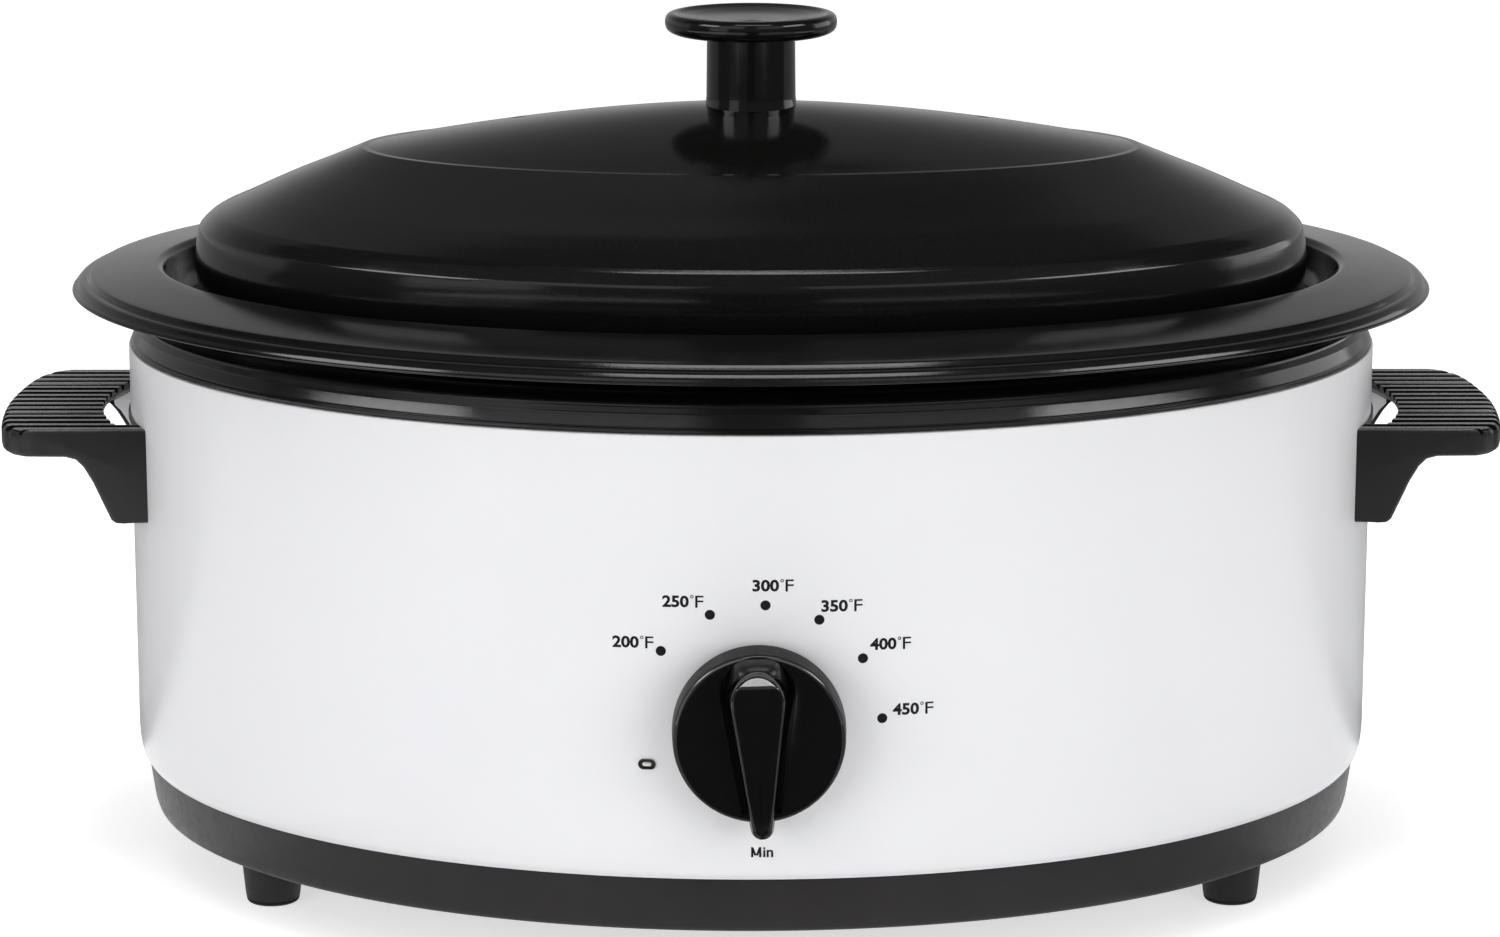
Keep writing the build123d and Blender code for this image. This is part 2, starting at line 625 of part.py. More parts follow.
def main():
    os.makedirs("parts", exist_ok=True)
    save("outer_shell", outer_shell())
    save("liner", liner())
    save("base_pan", base_pan())
    for name, (x, y) in foot_places().items():
        save(name, foot(x, y))
    save("foot_screws", foot_screws())
    save("liner_studs", group(studs_on_axis(8.5, LINER_FLOOR - SHEET, STUD_R)))
    save("stud_nuts", stud_nuts())
    save("stud_washers", group(studs_on_axis(BASE_BOTTOM - 0.8, BASE_BOTTOM, 7, STUD_R + 0.1)))
    upper = studs_on_axis(SHIELD_Z + 0.6, LINER_FLOOR - SHEET, 5, STUD_R + 0.1)
    lower = studs_on_axis(BASE_BOTTOM + BASE_WALL, SHIELD_Z, 5, STUD_R + 0.1)
    save("stud_spacers", group(upper + lower))
    save("heat_shield", heat_shield())
    save("cookwell", cookwell())
    save("cooking_rack", cooking_rack())
    save("lid_shell", lid_shell())
    save("lid_knob", lid_knob())
    save("lid_knob_washer", lid_knob_washer())
    save("lid_knob_screw", lid_knob_screw())
    for name, side in (("left", -1), ("right", 1)):
        save(f"{name}_handle", handle(side))
        save(f"{name}_handle_screws", handle_screws(side))
    save("control_knob", control_knob())
    save("knob_clip", knob_clip())
    save("thermostat_shaft", thermostat_shaft())
    save("thermostat_body", thermostat_body())
    save("thermostat_bracket", thermostat_bracket())
    save("thermostat_screws", thermostat_screws())
    save("sensor_pad", sensor_pad())
    save("pilot_lens", pilot_lens())
    save("pilot_holder", pilot_holder())
    save("pilot_lamp", pilot_lamp())
    save("band_heater", band_heater())
    save("band_strap", wrap(2.2, 0.6, 72, 82, WINDOW_HALF + 8))
    save("side_insulation", wrap(3.0, 6.0, 42, 148, WINDOW_HALF + 8))
    save("live_lead", live_lead())
    save("neutral_lead", neutral_lead())
    save("heater_lead", heater_lead())
    save("pilot_leads", pilot_leads())
    save("lead_joints", lead_joints())
    save("cord_grommet", cord_grommet())


main()
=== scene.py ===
"""Electric roaster oven: the dressed model built round the fixed frame of its solid parts.

Sizes are written in millimetres, heights above the table, and ovals are drawn about their
common upright axis. to_row() turns such a point into the frame's metres. Left and right are
as seen from the front, and the front is -Y.
"""

import json
import math
from types import SimpleNamespace

import bmesh
import bpy
from bpy.props import FloatProperty, FloatVectorProperty, IntProperty, PointerProperty
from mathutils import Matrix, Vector


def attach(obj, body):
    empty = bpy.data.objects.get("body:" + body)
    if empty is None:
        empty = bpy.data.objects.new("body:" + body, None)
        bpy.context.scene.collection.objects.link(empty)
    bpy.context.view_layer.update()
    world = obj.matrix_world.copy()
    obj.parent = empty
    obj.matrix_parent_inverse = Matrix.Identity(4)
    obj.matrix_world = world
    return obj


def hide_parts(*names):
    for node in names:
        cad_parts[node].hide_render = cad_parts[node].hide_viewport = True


bl_info = {
    "name": "Electric Roaster Oven",
    "version": (1, 0, 0),
    "blender": (4, 5, 0),
    "location": "3D View > Sidebar > Roaster",
    "description": "Builds an oval countertop roaster oven round its solid frame",
    "category": "Object",
}

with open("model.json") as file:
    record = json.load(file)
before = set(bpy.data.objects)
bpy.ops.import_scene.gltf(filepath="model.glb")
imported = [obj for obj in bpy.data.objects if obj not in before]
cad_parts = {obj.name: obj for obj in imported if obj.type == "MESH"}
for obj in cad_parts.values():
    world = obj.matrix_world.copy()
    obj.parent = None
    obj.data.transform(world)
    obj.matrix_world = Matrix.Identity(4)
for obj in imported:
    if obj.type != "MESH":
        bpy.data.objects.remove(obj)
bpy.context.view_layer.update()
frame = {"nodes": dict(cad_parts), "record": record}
NODES = frame["nodes"]

MM = 0.001
AXIS_Y = 6.025      # the ovals' axis stands this far behind the frame's origin
TURNS = 288         # points round an oval
CREASE = 38.0       # edges that turn by more degrees than this stay sharp
TENT = 7            # radius of the tent that only reflections see, in metres
CAPITAL = 0.729     # height of a capital letter as a share of the font's size
LOOKS = {}


# ---- Properties -----------------------------------------------------------------------

def length(title, words, millimetres):
    """Length property whose default is given in millimetres."""
    return FloatProperty(name=title, description=words, default=millimetres * MM,
                         unit="LENGTH", precision=5)


def angle(title, words, degrees):
    """Angle property whose default is given in degrees."""
    return FloatProperty(name=title, description=words, default=math.radians(degrees),
                         subtype="ANGLE")


def colour(title, words, value):
    """Colour property."""
    return FloatVectorProperty(name=title, description=words, default=value, size=3,
                               min=0.0, max=1.0, subtype="COLOR")


class RoasterBodySizes(bpy.types.PropertyGroup):
    """Casing, rim band, base and feet."""
    half_length: length("Casing half length", "Half of the casing's length", 182.0)
    half_depth: length("Casing half depth", "Half of the casing's depth", 144.7)
    bottom: length("Casing bottom", "Height of the casing's lower edge", 30.2)
    top: length("Casing top", "Height where the white casing ends", 153.2)
    band_top: length("Band top", "Height of the black band's top", 162.9)
    sheet: length("Sheet", "Thickness of the casing's steel", 0.8)
    liner_half_length: length("Liner half length", "Inside of the fixed inner pan", 161.5)
    liner_half_depth: length("Liner half depth", "Inside of the fixed inner pan", 109.0)
    liner_floor: length("Liner floor", "Height of the inner pan's floor", 37.0)
    base_bottom: length("Base bottom", "Height of the base's underside", 14.0)
    base_wall: length("Base wall", "Thickness of the base's wall", 2.6)
    foot_x: length("Foot across", "Foot centre, across", 137.5)
    foot_y: length("Foot along", "Foot centre, front to back", 65.5)
    foot_top: length("Foot top radius", "Radius where the foot meets the base", 8.9)
    foot_bottom: length("Foot bottom radius", "Radius at the table", 7.6)


class RoasterPanSizes(bpy.types.PropertyGroup):
    """Lift-out cookwell and its rack."""
    rim_half_length: length("Rim half length", "Half of the drooping rim's length", 198.2)
    rim_half_depth: length("Rim half depth", "Half of the drooping rim's depth", 157.65)
    rim_edge: length("Rim edge", "Height of the rim's outer edge", 168.2)
    rim_crest: length("Rim crest", "Height of the rim's inner crest", 176.0)
    recess_half_length: length("Recess half length", "Recess that the lid lies in", 171.3)
    recess_half_depth: length("Recess half depth", "Recess that the lid lies in", 118.7)
    well_half_length: length("Well half length", "Inside of the tub", 156.1)
    well_half_depth: length("Well half depth", "Inside of the tub", 103.6)
    well_floor: length("Well floor", "Underside of the tub's floor", 43.0)
    enamel: length("Sheet", "Thickness of the enamelled sheet", 0.9)
    rack_half_length: length("Rack half length", "Half of the rack's length", 118.0)
    rack_half_depth: length("Rack half depth", "Half of the rack's depth", 68.0)
    rack_height: length("Rack height", "Height of the rack's wires", 55.0)
    wire: length("Rack wire", "Radius of the rack's ring", 2.0)


class RoasterLidSizes(bpy.types.PropertyGroup):
    """Lid and its knob."""
    half_length: length("Lid half length", "Half of the lid's length", 162.5)
    half_depth: length("Lid half depth", "Half of the lid's depth", 110.0)
    crease_half_length: length("Crease half length", "Oval crease round the dome", 113.5)
    crease_half_depth: length("Crease half depth", "Oval crease round the dome", 57.9)
    ledge: length("Ledge", "Width of the flat ledge inside the crease", 2.0)
    crease: length("Crease height", "Height of the crease", 209.1)
    top: length("Lid top", "Height of the dome", 221.5)
    sheet: length("Sheet", "Thickness of the lid's steel", 1.0)
    hole_x: length("Steam hole across", "Steam hole's distance from the middle", 68.0)
    hole_y: length("Steam hole back", "Steam hole's distance behind the middle", 11.0)
    knob_radius: length("Knob radius", "Radius of the lid knob's disc", 25.1)
    knob_top: length("Knob top", "Height of the lid knob", 248.0)
    post_radius: length("Post radius", "Radius of the lid knob's post", 12.9)


class RoasterHandleSizes(bpy.types.PropertyGroup):
    """Side handles."""
    reach: length("Reach", "Distance from the middle to the grip's edge", 218.9)
    half_width: length("Half width", "Half of the grip's width", 44.8)
    top: length("Top", "Height of the ribs", 133.5)
    plate: length("Plate", "Thickness of the grip", 7.8)
    arm: length("Arm", "Thickness of each arm", 8.0)
    foot: length("Arm foot", "Height of the arms' lower ends", 106.2)
    ribs: IntProperty(name="Ribs", description="Number of ribs on the grip", default=15)


class RoasterControlSizes(bpy.types.PropertyGroup):
    """Thermostat knob, dial and pilot light."""
    dial_x: length("Dial across", "Dial centre, across", 1.6)
    dial_z: length("Dial height", "Dial centre, height", 74.1)
    radius: length("Knob radius", "Radius of the knob's disc", 23.3)
    face: length("Knob face", "Distance from the casing to the disc's face", 14.7)
    back: length("Knob back", "Distance from the casing to the disc's back", 2.5)
    reach: length("Knob reach", "Distance from the casing to the grip's top", 25.0)
    tilt: angle("Tilt", "Turn of the pointer past the lowest mark", 1.9)
    dot_radius: length("Dot circle", "Radius of the circle of dots", 33.1)
    pilot_x: length("Pilot light across", "Pilot light centre, across", -28.5)
    pilot_z: length("Pilot light height", "Pilot light centre, height", 62.8)


class RoasterColours(bpy.types.PropertyGroup):
    """Colours of the finishes."""
    white: colour("White enamel", "Casing", (0.86, 0.862, 0.885))
    black: colour("Black enamel", "Lid, cookwell and band", (0.0042, 0.0042, 0.004))
    fleck: colour("Enamel fleck", "Fine flecks in the black enamel", (0.03, 0.03, 0.028))
    base: colour("Base plastic", "Base and feet", (0.0085, 0.007, 0.0066))
    handle: colour("Handle plastic", "Side handles", (0.006, 0.0047, 0.0046))
    knob: colour("Knob plastic", "Both knobs", (0.0042, 0.0036, 0.0036))
    print_ink: colour("Print", "Dial numbers and dots", (0.01, 0.009, 0.012))


class RoasterStage(bpy.types.PropertyGroup):
    """Camera and lights."""
    camera_back: length("Camera distance", "Camera's distance in front of the middle", 1352.67)
    camera_height: length("Camera height", "Camera's height above the table", 414.3)
    camera_side: length("Camera aside", "Camera's distance to the right of the middle", -5.05)
    camera_pitch: FloatProperty(name="Camera pitch", description="Tilt below the horizon",
                                default=0.2187, subtype="ANGLE")
    camera_turn: FloatProperty(name="Camera turn", description="Turn to the left",
                               default=-0.0035, subtype="ANGLE")
    focal: FloatProperty(name="Lens", description="Focal length in millimetres", default=112.85)
    key: FloatProperty(name="Front light", description="Watts of each front softbox", default=8.0)
    rear: FloatProperty(name="Rear light", description="Watts of each rear softbox", default=1.2)
    top: FloatProperty(name="Top light", description="Watts of the overhead softbox", default=6.0)
    fill: FloatProperty(name="Fill", description="Strength of the light from all round",
                        default=0.42)


GROUPS = {"roaster_body": RoasterBodySizes, "roaster_pan": RoasterPanSizes,
          "roaster_lid": RoasterLidSizes, "roaster_handles": RoasterHandleSizes,
          "roaster_control": RoasterControlSizes, "roaster_colours": RoasterColours,
          "roaster_stage": RoasterStage}


def in_mm(group):
    """The group's lengths in millimetres, and its other values as they are."""
    values = {}
    for key in group.__annotations__:
        prop = group.bl_rna.properties[key]
        value = getattr(group, key)
        values[key] = value / MM if prop.unit == "LENGTH" else value
    return SimpleNamespace(**values)


# ---- Mesh helpers ---------------------------------------------------------------------

def placed(name, data):
    """New object of that data, in the scene."""
    made = bpy.data.objects.new(name, data)
    bpy.context.scene.collection.objects.link(made)
    return made


def to_row(point):
    """Frame position in metres of a point given in millimetres about the ovals' axis."""
    return Vector((point[0] * MM, (point[1] + AXIS_Y) * MM, point[2] * MM))


def new_piece(name, mesh, finish, body, slot, *nodes):
    """Object for a finished mesh: smooth, on its body, standing for its nodes."""
    piece = placed(name, mesh)
    mesh.materials.clear()
    for item in finish if isinstance(finish, (list, tuple)) else (finish,):
        mesh.materials.append(item)
    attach(piece, body)
    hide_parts(*nodes)
    return piece


def mesh_of(name, points, faces, crease=CREASE, place=to_row):
    """Mesh of points and faces, outward normals, smooth except over sharp edges."""
    mesh = bpy.data.meshes.new(name)
    mesh.from_pydata([place(p) for p in points], [], faces)
    tidy_mesh(mesh, crease)
    return mesh


def tidy_mesh(mesh, crease=CREASE):
    """Merge doubles, turn the normals outward and mark the sharp edges."""
    shape = bmesh.new()
    shape.from_mesh(mesh)
    bmesh.ops.remove_doubles(shape, verts=shape.verts, dist=1e-7)
    bmesh.ops.recalc_face_normals(shape, faces=shape.faces)
    limit = math.radians(crease)
    for face in shape.faces:
        face.smooth = True
    for edge in shape.edges:
        if len(edge.link_faces) == 2:
            edge.smooth = edge.calc_face_angle(0.0) < limit
    shape.to_mesh(mesh)
    shape.free()
    mesh.validate()


def eased(points, steps=6):
    """Profile with rounded corners.

    Each point is half length, half depth, height and how far the corner is cut back."""
    rings = [tuple(points[0][:3])]
    for before, corner, after in zip(points, points[1:], points[2:]):
        here = Vector(corner[:3])
        if not corner[3]:
            rings.append(tuple(here))
            continue
        back, on = Vector(before[:3]) - here, Vector(after[:3]) - here
        start = here + back.normalized() * min(corner[3], back.length * 0.5)
        end = here + on.normalized() * min(corner[3], on.length * 0.5)
        for step in range(steps + 1):
            t = step / steps
            rings.append(tuple(start.lerp(here, t).lerp(here.lerp(end, t), t)))
    rings.append(tuple(points[-1][:3]))
    return rings


def turned(points, steps=6):
    """Round profile with rounded corners; each point is radius, height and corner cut."""
    return [(r, r, z) for r, _, z in eased([(r, 0, z, cut) for r, z, cut in points], steps)]


def oval_points(rings, turns=TURNS):
    """Points of ovals, ring after ring."""
    points = []
    for half_length, half_depth, z in rings:
        for step in range(turns):
            turn = 2 * math.pi * step / turns
            points.append((half_length * math.cos(turn), half_depth * math.sin(turn), z))
    return points


def ring_faces(count, turns=TURNS, closed=False):
    """Faces between neighbouring rings, and from the last ring to the first when closed."""
    faces = []
    for row in range(count if closed else count - 1):
        low, high = row * turns, (row + 1) % count * turns
        for step in range(turns):
            after = (step + 1) % turns
            faces.append((low + step, low + after, high + after, high + step))
    return faces


def capped_faces(count, turns):
    """Faces between neighbouring rings, and one over each end."""
    last = (count - 1) * turns
    return ring_faces(count, turns) + [tuple(range(turns)), tuple(range(last, last + turns))]


def swept(name, rings, turns=TURNS):
    """Oval piece swept from a closed profile."""
    return mesh_of(name, oval_points(rings, turns), ring_faces(len(rings), turns, True))


def inset(half_length, half_depth, steps):
    """Profile points that stand in from one oval: distance in, height and corner cut."""
    return [(half_length - step, half_depth - step, z, cut) for step, z, cut in steps]


def about(half_length, half_depth, height, *steps):
    """Profile points given from one oval: length, depth and height added, and corner cut."""
    return [(half_length + long, half_depth + deep, height + up, cut)
            for long, deep, up, cut in steps]


def front_of(half_length, half_depth, x):
    """Y of an upright oval wall's front at x."""
    return -half_depth * math.sqrt(max(0.0, 1 - (x / half_length) ** 2))


def side_of(half_length, half_depth, y):
    """X of an upright oval wall's right side at y."""
    return half_length * math.sqrt(max(0.0, 1 - (y / half_depth) ** 2))


def between(spots, at):
    """Value at a place along a line of (place, value) spots."""
    for (start, before), (end, after) in zip(spots, spots[1:]):
        if at <= end:
            return before + (after - before) * max(0.0, (at - start) / (end - start))
    return spots[-1][1]


def cut_holes(piece, *cutters):
    """Take the cutters' shapes out of a piece for good."""
    for cutter in cutters:
        cut = piece.modifiers.new("hole", "BOOLEAN")
        cut.operation = "DIFFERENCE"
        cut.solver = "EXACT"
        cut.object = cutter
    apply_modifiers(piece)
    for cutter in cutters:
        bpy.data.objects.remove(cutter)


def apply_modifiers(piece, crease=CREASE):
    """Bake a piece's modifiers into its mesh."""
    graph = bpy.context.evaluated_depsgraph_get()
    made = bpy.data.meshes.new_from_object(piece.evaluated_get(graph))
    piece.modifiers.clear()
    piece.data = made
    tidy_mesh(made, crease)


def cutter_of(name, outline, low, high, place):
    """Prism for cutting: an outline of (u, v) points between two depths, put where place says."""
    points = [place(u, v, w) for w in (low, high) for u, v in outline]
    return placed(name, mesh_of(name, points, capped_faces(2, len(outline))))


def upright(u, v, w):
    """Place of a point on an upright prism."""
    return u, v, w


def along_y(u, v, w):
    """Place of a point on a prism that runs from front to back."""
    return u, w, v


def along_x(u, v, w):
    """Place of a point on a prism that runs from side to side."""
    return w, u, v


def circle(radius, steps=32, u=0.0, v=0.0):
    """Outline points of a circle."""
    return [(u + radius * math.cos(2 * math.pi * step / steps),
             v + radius * math.sin(2 * math.pi * step / steps)) for step in range(steps)]


def slot_outline(long, high, u=0.0, v=0.0, steps=12):
    """Outline points of a slot with round ends."""
    radius = high / 2
    shift = long / 2 - radius
    outline = []
    for side in (1, -1):
        for step in range(steps + 1):
            turn = math.pi * step / steps - math.pi / 2
            outline.append((u + side * (shift + radius * math.cos(turn)),
                            v + side * radius * math.sin(turn)))
    return outline


# ---- Finishes -------------------------------------------------------------------------

def scaled(base, factor, lift=0.0):
    """A colour made lighter or darker, at most white."""
    return tuple(min(1.0, value * factor + lift) for value in base)


def shader_node(tree, kind, feeds=(), **values):
    """New node, with sockets linked to its first inputs and values set by the input's name."""
    node = tree.nodes.new(kind)
    for key, value in values.items():
        node.inputs[key].default_value = value
    for socket, source in zip(node.inputs, feeds):
        tree.links.new(source, socket)
    return node


def new_tree(owner):
    """The empty node tree of a material or world."""
    owner.use_nodes = True
    owner.node_tree.nodes.clear()
    return owner.node_tree


class Finish:
    """Node material with the object's own coordinates, in the frame's metres."""

    def __init__(self, name, base, rough, metallic=0.0, coat=0.0, coat_rough=0.1, specular=0.5):
        self.material = bpy.data.materials.new("roaster_" + name)
        self.material.use_nodes = True
        self.tree = self.material.node_tree
        self.shader = next(n for n in self.tree.nodes if n.type == "BSDF_PRINCIPLED")
        for socket, value in {"Base Color": (*base, 1), "Roughness": rough, "Metallic": metallic,
                              "Coat Weight": coat, "Coat Roughness": coat_rough,
                              "Specular IOR Level": specular}.items():
            self.shader.inputs[socket].default_value = value
        self.base = base
        self.place = self.add("ShaderNodeTexCoord").outputs["Object"]
        self.height = None

    def add(self, kind, **values):
        """New node with the given inputs set."""
        return shader_node(self.tree, kind, **values)

    def link(self, source, target):
        """Join two sockets."""
        self.tree.links.new(source, target)

    def stretched(self, across, along, up):
        """The place, scaled differently along each axis."""
        node = self.add("ShaderNodeMapping", Scale=(across, along, up))
        self.link(self.place, node.inputs["Vector"])
        return node.outputs["Vector"]

    def noise(self, per_metre, detail=3.0, rough=0.55, place=None):
        """Noise of that many features in a metre."""
        node = self.add("ShaderNodeTexNoise", Scale=per_metre, Detail=detail, Roughness=rough)
        self.link(place or self.place, node.inputs["Vector"])
        return node.outputs["Fac"]

    def cells(self, per_metre):
        """Distance to the nearest of scattered points."""
        node = self.add("ShaderNodeTexVoronoi", Scale=per_metre)
        self.link(self.place, node.inputs["Vector"])
        return node.outputs["Distance"]

    def ranged(self, value, low, high, to_low=0.0, to_high=1.0):
        """Value stretched from one range to another and held inside it."""
        node = self.add("ShaderNodeMapRange", **{"From Min": low, "From Max": high,
                                                 "To Min": to_low, "To Max": to_high})
        self.link(value, node.inputs["Value"])
        return node.outputs["Result"]

    def tint(self, value, other):
        """Mix the colour towards another one by a value."""
        node = self.tree.nodes.new("ShaderNodeMix")
        node.data_type = "RGBA"
        before = self.shader.inputs["Base Color"]
        if before.is_linked:
            self.link(before.links[0].from_socket, node.inputs[6])
        else:
            node.inputs[6].default_value = (*self.base, 1)
        node.inputs[7].default_value = (*other, 1)
        self.link(value, node.inputs[0])
        self.link(node.outputs[2], before)
        return self

    def roughen(self, value, low, high):
        """Roughness between two values, by a value from 0 to 1."""
        self.link(self.ranged(value, 0.25, 0.75, low, high), self.shader.inputs["Roughness"])
        return self

    def bump(self, value, depth_mm, strength=1.0, to_coat=False):
        """Relief of that depth, laid over any relief already there."""
        node = self.add("ShaderNodeBump", Strength=strength, Distance=depth_mm * MM)
        self.link(value, node.inputs["Height"])
        if self.height is not None:
            self.link(self.height, node.inputs["Normal"])
        self.height = node.outputs["Normal"]
        self.link(self.height, self.shader.inputs["Normal"])
        if to_coat:
            self.link(self.height, self.shader.inputs["Coat Normal"])
        return self


def white_enamel():
    """Gloss white enamel on steel: faint ripple, and a very faint mottle."""
    colours = bpy.context.scene.roaster_colours
    made = Finish("white_enamel", tuple(colours.white), 0.22, specular=0.5)
    made.tint(made.ranged(made.noise(14, 2), 0.35, 0.75, 0.0, 0.5), (0.835, 0.837, 0.872))
    made.roughen(made.noise(60, 2), 0.17, 0.26)
    made.bump(made.noise(90, 2), 0.006, 0.2).bump(made.noise(1500, 3), 0.003, 0.25)
    return made.material


def black_enamel(name="black_enamel", rough=(0.09, 0.15), fleck=1.0, grain=0.012):
    """Gloss black enamel: orange-peel ripple, and fine lighter flecks."""
    colours = bpy.context.scene.roaster_colours
    made = Finish(name, tuple(colours.black), 0.2, specular=0.5)
    flecks = made.ranged(made.cells(1300), 0.05, 0.3, fleck, 0.0)
    made.tint(flecks, tuple(colours.fleck))
    made.roughen(made.noise(120, 4), *rough)
    made.bump(made.noise(300, 2), 0.012, 0.35).bump(made.noise(1700, 3), grain * 1.4, 0.8)
    return made.material


def moulded_plastic(name, base, rough=(0.38, 0.5), grain=0.02, specular=0.45):
    """Satin moulded plastic with a fine spark-eroded grain."""
    made = Finish(name, base, 0.45, specular=specular)
    made.tint(made.ranged(made.noise(45, 4), 0.35, 0.75, 0.0, 0.6), scaled(base, 1.5, 0.003))
    made.roughen(made.noise(300, 4), *rough)
    made.bump(made.noise(1700, 4), grain, 0.6).bump(made.noise(60, 2), 0.03, 0.3)
    return made.material


def gloss_plastic(name, base, rough=(0.07, 0.14)):
    """Polished black phenolic with a slight moulding ripple and fine handling marks."""
    made = Finish(name, base, 0.1, specular=0.5)
    marks = made.noise(70, 5, 0.7, made.stretched(1.0, 1.0, 9.0))
    made.tint(made.ranged(marks, 0.55, 0.8, 0.0, 0.5), scaled(base, 2.2, 0.002))
    made.roughen(made.noise(220, 4), *rough)
    made.bump(made.noise(120, 2), 0.015, 0.35).bump(made.noise(2600, 2), 0.002, 0.3)
    return made.material


def knob_rim(base):
    """Shaded satin copy of the knob plastic for its edge: a low IOR cuts its reflection of the
    casing behind it, standing in for shade.
    """
    made = Finish("knob_rim", base, 0.35, specular=0.5)
    made.shader.inputs["IOR"].default_value = 1.12
    made.tint(made.ranged(made.noise(45, 4), 0.35, 0.75, 0.0, 0.6), scaled(base, 1.5, 0.002))
    made.roughen(made.noise(300, 4), 0.3, 0.4)
    made.bump(made.noise(1700, 4), 0.006, 0.6)
    return made.material


def knob_glint():
    """Painted highlight for the control knob: a lighter colour and a stronger, coated reflection on
    the grip's end and the disc's upper edge.
    """
    made = Finish("knob_glint", (0.012, 0.012, 0.012), 0.12, coat=1.0, coat_rough=0.1, specular=1.0)
    made.tint(made.ranged(made.noise(300, 3), 0.45, 0.75, 0.0, 0.5), (0.02, 0.02, 0.02))
    made.roughen(made.noise(400, 3), 0.1, 0.18)
    made.bump(made.noise(900, 2), 0.004, 0.4, to_coat=True)
    return made.material


def plated_metal(name, base, rough, grain=(1.0, 1.0, 14.0)):
    """Bright metal with fine brushing along one direction."""
    made = Finish(name, base, rough, metallic=1.0)
    lines = made.noise(260, 4, 0.6, made.stretched(*grain))
    made.tint(made.ranged(lines, 0.4, 0.8, 0.0, 0.5), scaled(base, 0.72))
    made.roughen(lines, rough * 0.75, rough * 1.35)
    made.bump(lines, 0.006, 0.5)
    return made.material


def woven_sleeve(name, base):
    """Braided glass sleeving: crossed strands seen as a fine check."""
    made = Finish(name, base, 0.8, specular=0.3)
    strands = made.cells(1500)
    made.tint(made.ranged(strands, 0.1, 0.7, 0.0, 0.8), scaled(base, 0.6))
    made.roughen(made.noise(500, 3), 0.7, 0.95)
    made.bump(strands, 0.15, 0.8)
    return made.material


def matted_fibre(name, base):
    """Needled glass fibre: soft clumps over fine threads."""
    made = Finish(name, base, 0.95, specular=0.2)
    threads = made.noise(900, 6, 0.7, made.stretched(0.4, 0.4, 2.2))
    made.tint(made.ranged(threads, 0.4, 0.7, 0.0, 0.7), scaled(base, 0.72))
    made.roughen(made.noise(90, 3), 0.85, 1.0)
    made.bump(threads, 0.4, 0.8).bump(made.noise(60, 3), 1.2, 0.5)
    return made.material


def fired_clay(name, base):
    """Steatite block: matt, slightly mottled, with pin holes."""
    made = Finish(name, base, 0.7, specular=0.35)
    made.tint(made.ranged(made.noise(160, 4), 0.45, 0.75, 0.0, 0.6), scaled(base, 0.8))
    pores = made.ranged(made.cells(700), 0.0, 0.2, 0.0, 1.0)
    made.roughen(made.noise(240, 3), 0.6, 0.8)
    made.bump(pores, 0.05, 0.7)
    return made.material


def clear_plastic(name, base):
    """Clear lens with a slight tint and faint moulding lines."""
    made = Finish(name, base, 0.08, specular=0.5)
    made.shader.inputs["Transmission Weight"].default_value = 0.75
    made.shader.inputs["IOR"].default_value = 1.49
    made.tint(made.ranged(made.noise(900, 2), 0.4, 0.7, 0.0, 0.4), scaled(base, 0.85))
    made.roughen(made.noise(500, 3), 0.05, 0.12)
    made.bump(made.noise(800, 2), 0.01, 0.4)
    return made.material


def printed_ink():
    """Screen-printed ink: a little raised, with a slightly uneven film."""
    colours = bpy.context.scene.roaster_colours
    made = Finish("print_ink", tuple(colours.print_ink), 0.6, specular=0.12)
    made.tint(made.ranged(made.noise(900, 3), 0.45, 0.7, 0.0, 0.5), (0.02, 0.018, 0.024))
    made.roughen(made.noise(1200, 3), 0.5, 0.7)
    made.bump(made.noise(2500, 3), 0.004, 0.5)
    return made.material


